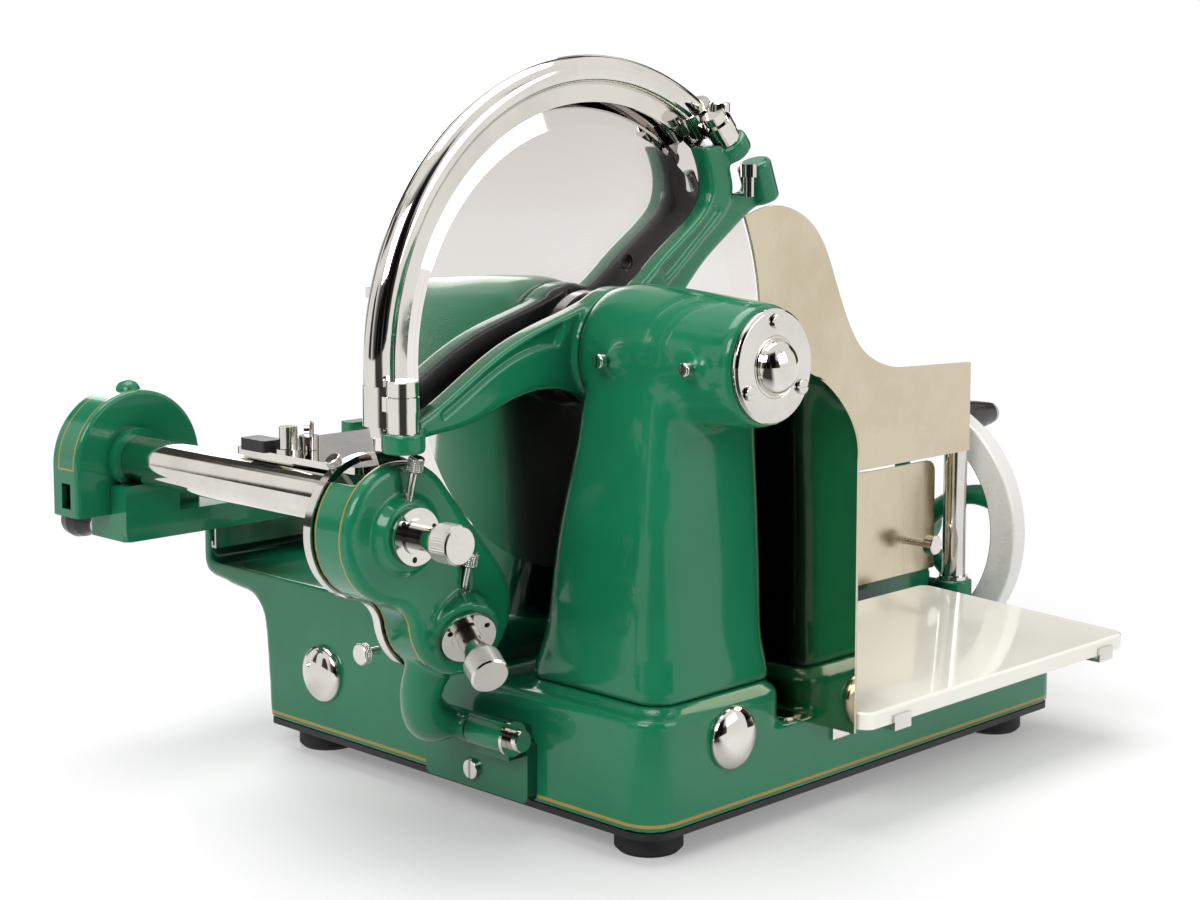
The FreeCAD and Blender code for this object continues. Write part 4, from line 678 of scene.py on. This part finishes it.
def floor():
    """Pale paper that takes the object's shadow and fades into the white background."""
    mesh = bpy.data.meshes.new("floor")
    reach = FLOOR_REACH
    mesh.from_pydata([(-reach, -reach, 0), (reach, -reach, 0), (reach, reach, 0),
                      (-reach, reach, 0)], [], [(0, 1, 2, 3)])
    item = added("floor", mesh)
    s = Shader("floor_paper")
    s.colour(s.mottled(s.noise(2, 3), (0.84, 0.84, 0.84, 1), (0.86, 0.86, 0.86, 1)))
    s.set(Roughness=0.6)
    x, y, _ = s.axes()
    radius = s.radius(x, y, MIDDLE.x, MIDDLE.y)
    fade = s.span(radius, *FADE, 0.25, 1)
    path = s.node("ShaderNodeLightPath")
    glow = s.node("ShaderNodeEmission")
    # Metal sees the dark of the camera's side of the room in it.
    facing = s.math("DIVIDE", s.along(MIDDLE, CAMERA_SIDE), radius)
    front = s.math("MULTIPLY", s.span(facing, 0.86, 0.95, 0, 1), path.outputs["Is Glossy Ray"])
    s.link(s.mix(front, WHITE, (0.05, 0.05, 0.045, 1)), glow.inputs["Color"])
    seen = s.math("MAXIMUM", path.outputs["Is Camera Ray"], path.outputs["Is Glossy Ray"])
    s.surface(s.math("MULTIPLY", fade, seen), s.bsdf, glow)
    mesh.materials.append(s.material)


floor()


class Room:
    """A small helper that builds the world's nodes from the direction in which a ray leaves."""

    def __init__(self, tree):
        self.tree = tree
        self.sky = self.node("ShaderNodeTexCoord").outputs["Generated"]

    def node(self, kind, **values):
        item = self.tree.nodes.new(kind)
        for key, value in values.items():
            item.inputs[key].default_value = value
        return item

    def link(self, out, into):
        self.tree.links.new(out, into)

    def math(self, operation, a, b):
        item = self.node("ShaderNodeMath")
        item.operation = operation
        self.link(a, item.inputs[0])
        self.link(b, item.inputs[1])
        return item.outputs["Value"]

    def span(self, value, low, high, out_low=0.0, out_high=1.0):
        item = self.node("ShaderNodeMapRange", **{"From Min": low, "From Max": high,
                                                  "To Min": out_low, "To Max": out_high})
        self.link(value, item.inputs["Value"])
        return item.outputs["Result"]

    def patch(self, way, low, high):
        """0 away from a direction and 1 around it, by the cosines of the angles to it."""
        facing = self.node("ShaderNodeVectorMath")
        facing.operation = "DOT_PRODUCT"
        facing.inputs[1].default_value = way
        self.link(self.sky, facing.inputs[0])
        return self.span(facing.outputs["Value"], low, high)

    def flags(self):
        """Pale walls broken by upright dark flags."""
        squash = self.node("ShaderNodeMapping")
        squash.inputs["Scale"].default_value = (1, 1, 0.3)
        self.link(self.sky, squash.inputs["Vector"])
        noise = self.node("ShaderNodeTexNoise", Scale=2.6, Detail=1.0)
        self.link(squash.outputs["Vector"], noise.inputs["Vector"])
        steps = self.node("ShaderNodeValToRGB")
        black, pale = steps.color_ramp.elements
        black.position, black.color = 0.47, (0.06, 0.055, 0.05, 1)
        pale.position, pale.color = 0.54, PALE_WALL
        self.link(noise.outputs["Fac"], steps.inputs["Fac"])
        return steps.outputs["Color"]

    def low_flag(self):
        """A long dark flag low behind the machine."""
        split = self.node("ShaderNodeSeparateXYZ")
        self.link(self.sky, split.inputs["Vector"])
        height = split.outputs["Z"]
        band = self.math("MULTIPLY", self.span(height, 0.25, 0.28), self.span(height, 0.42, 0.38))
        return self.math("MULTIPLY", self.patch(BEHIND, 0.5, 0.62), band)


def world():
    """White to the camera, soft to plain paint, and a studio with dark flags to metal."""
    studio = bpy.data.worlds.new("studio")
    bpy.context.scene.world = studio
    studio.use_nodes = True
    room = Room(studio.node_tree)
    soft = room.tree.nodes["Background"]
    soft.inputs["Color"].default_value = WHITE
    soft.inputs["Strength"].default_value = 0.36
    white = room.node("ShaderNodeBackground", Color=WHITE, Strength=1.0)

    # What metal sees: two pale windows in the walls, and the dark behind the camera.
    wall = room.node("ShaderNodeMix")
    wall.data_type = "RGBA"
    wall.inputs[7].default_value = PALE_WALL
    windows = room.math("MAXIMUM", room.patch(TO_RIGHT, 0.85, 0.92), room.patch(UP, 0.72, 0.8))
    room.link(windows, wall.inputs[0])
    room.link(room.flags(), wall.inputs[6])
    darkest = room.math("MAXIMUM", room.low_flag(), room.patch(TO_CAMERA, 0.62, 0.8))
    metal = room.node("ShaderNodeBackground")
    room.link(wall.outputs[2], metal.inputs["Color"])
    room.link(room.span(darkest, 0.0, 1.0, 0.98, 0.07), metal.inputs["Strength"])

    path = room.node("ShaderNodeLightPath")
    shown = soft.outputs[0]
    for ray, shader in (("Is Glossy Ray", metal), ("Is Camera Ray", white)):
        mix = room.node("ShaderNodeMixShader")
        room.link(path.outputs[ray], mix.inputs[0])
        room.link(shown, mix.inputs[1])
        room.link(shader.outputs[0], mix.inputs[2])
        shown = mix.outputs[0]
    room.link(shown, room.tree.nodes["World Output"].inputs["Surface"])


world()


def softbox(name, place, aim, width, height, watts):
    """A rectangular lamp that looks at a point."""
    data = bpy.data.lights.new(name, "AREA")
    data.shape = "RECTANGLE"
    data.size = width
    data.size_y = height
    data.energy = watts
    item = added(name, data)
    item.location = place
    item.rotation_euler = (Vector(aim) - Vector(place)).to_track_quat("-Z", "Y").to_euler()


softbox("key", (-1.7, -0.6, 1.5), aim=(0, 0.1, 0.2), width=1.2, height=0.9, watts=26)
softbox("fill", (0.9, -1.9, 1.0), aim=(0.1, 0, 0.2), width=1.2, height=1.0, watts=11)
softbox("top", (0.1, 0.3, 2.0), aim=(0.1, 0, 0.1), width=1.6, height=1.2, watts=27)
softbox("rear", (0.8, 1.8, 1.0), aim=(0, 0, 0.2), width=1.2, height=0.8, watts=10)

# --------------------------------------------------------------------- camera
CAMERA_PLACE = (-0.8644, -0.8150, 0.4159)
CAMERA_RIGHT = Vector((0.70296, -0.71123, 0))
CAMERA_AHEAD = Vector((0.70734, 0.69911, -0.10453))
SENSOR = 36                         # millimetres, as the lens
LENS = 64.0
LENS_SHIFT = -0.08897


def camera():
    """The camera, with its picture shifted down as by a view lens."""
    data = bpy.data.cameras.new("camera")
    data.sensor_width = SENSOR
    data.lens = LENS
    data.shift_y = LENS_SHIFT
    item = added("camera", data)
    up = CAMERA_RIGHT.cross(CAMERA_AHEAD)
    turn = Matrix((CAMERA_RIGHT, up, -CAMERA_AHEAD)).transposed().to_4x4()
    item.matrix_world = Matrix.Translation(CAMERA_PLACE) @ turn
    bpy.context.scene.camera = item


camera()
bpy.context.scene.view_settings.view_transform = "Standard"
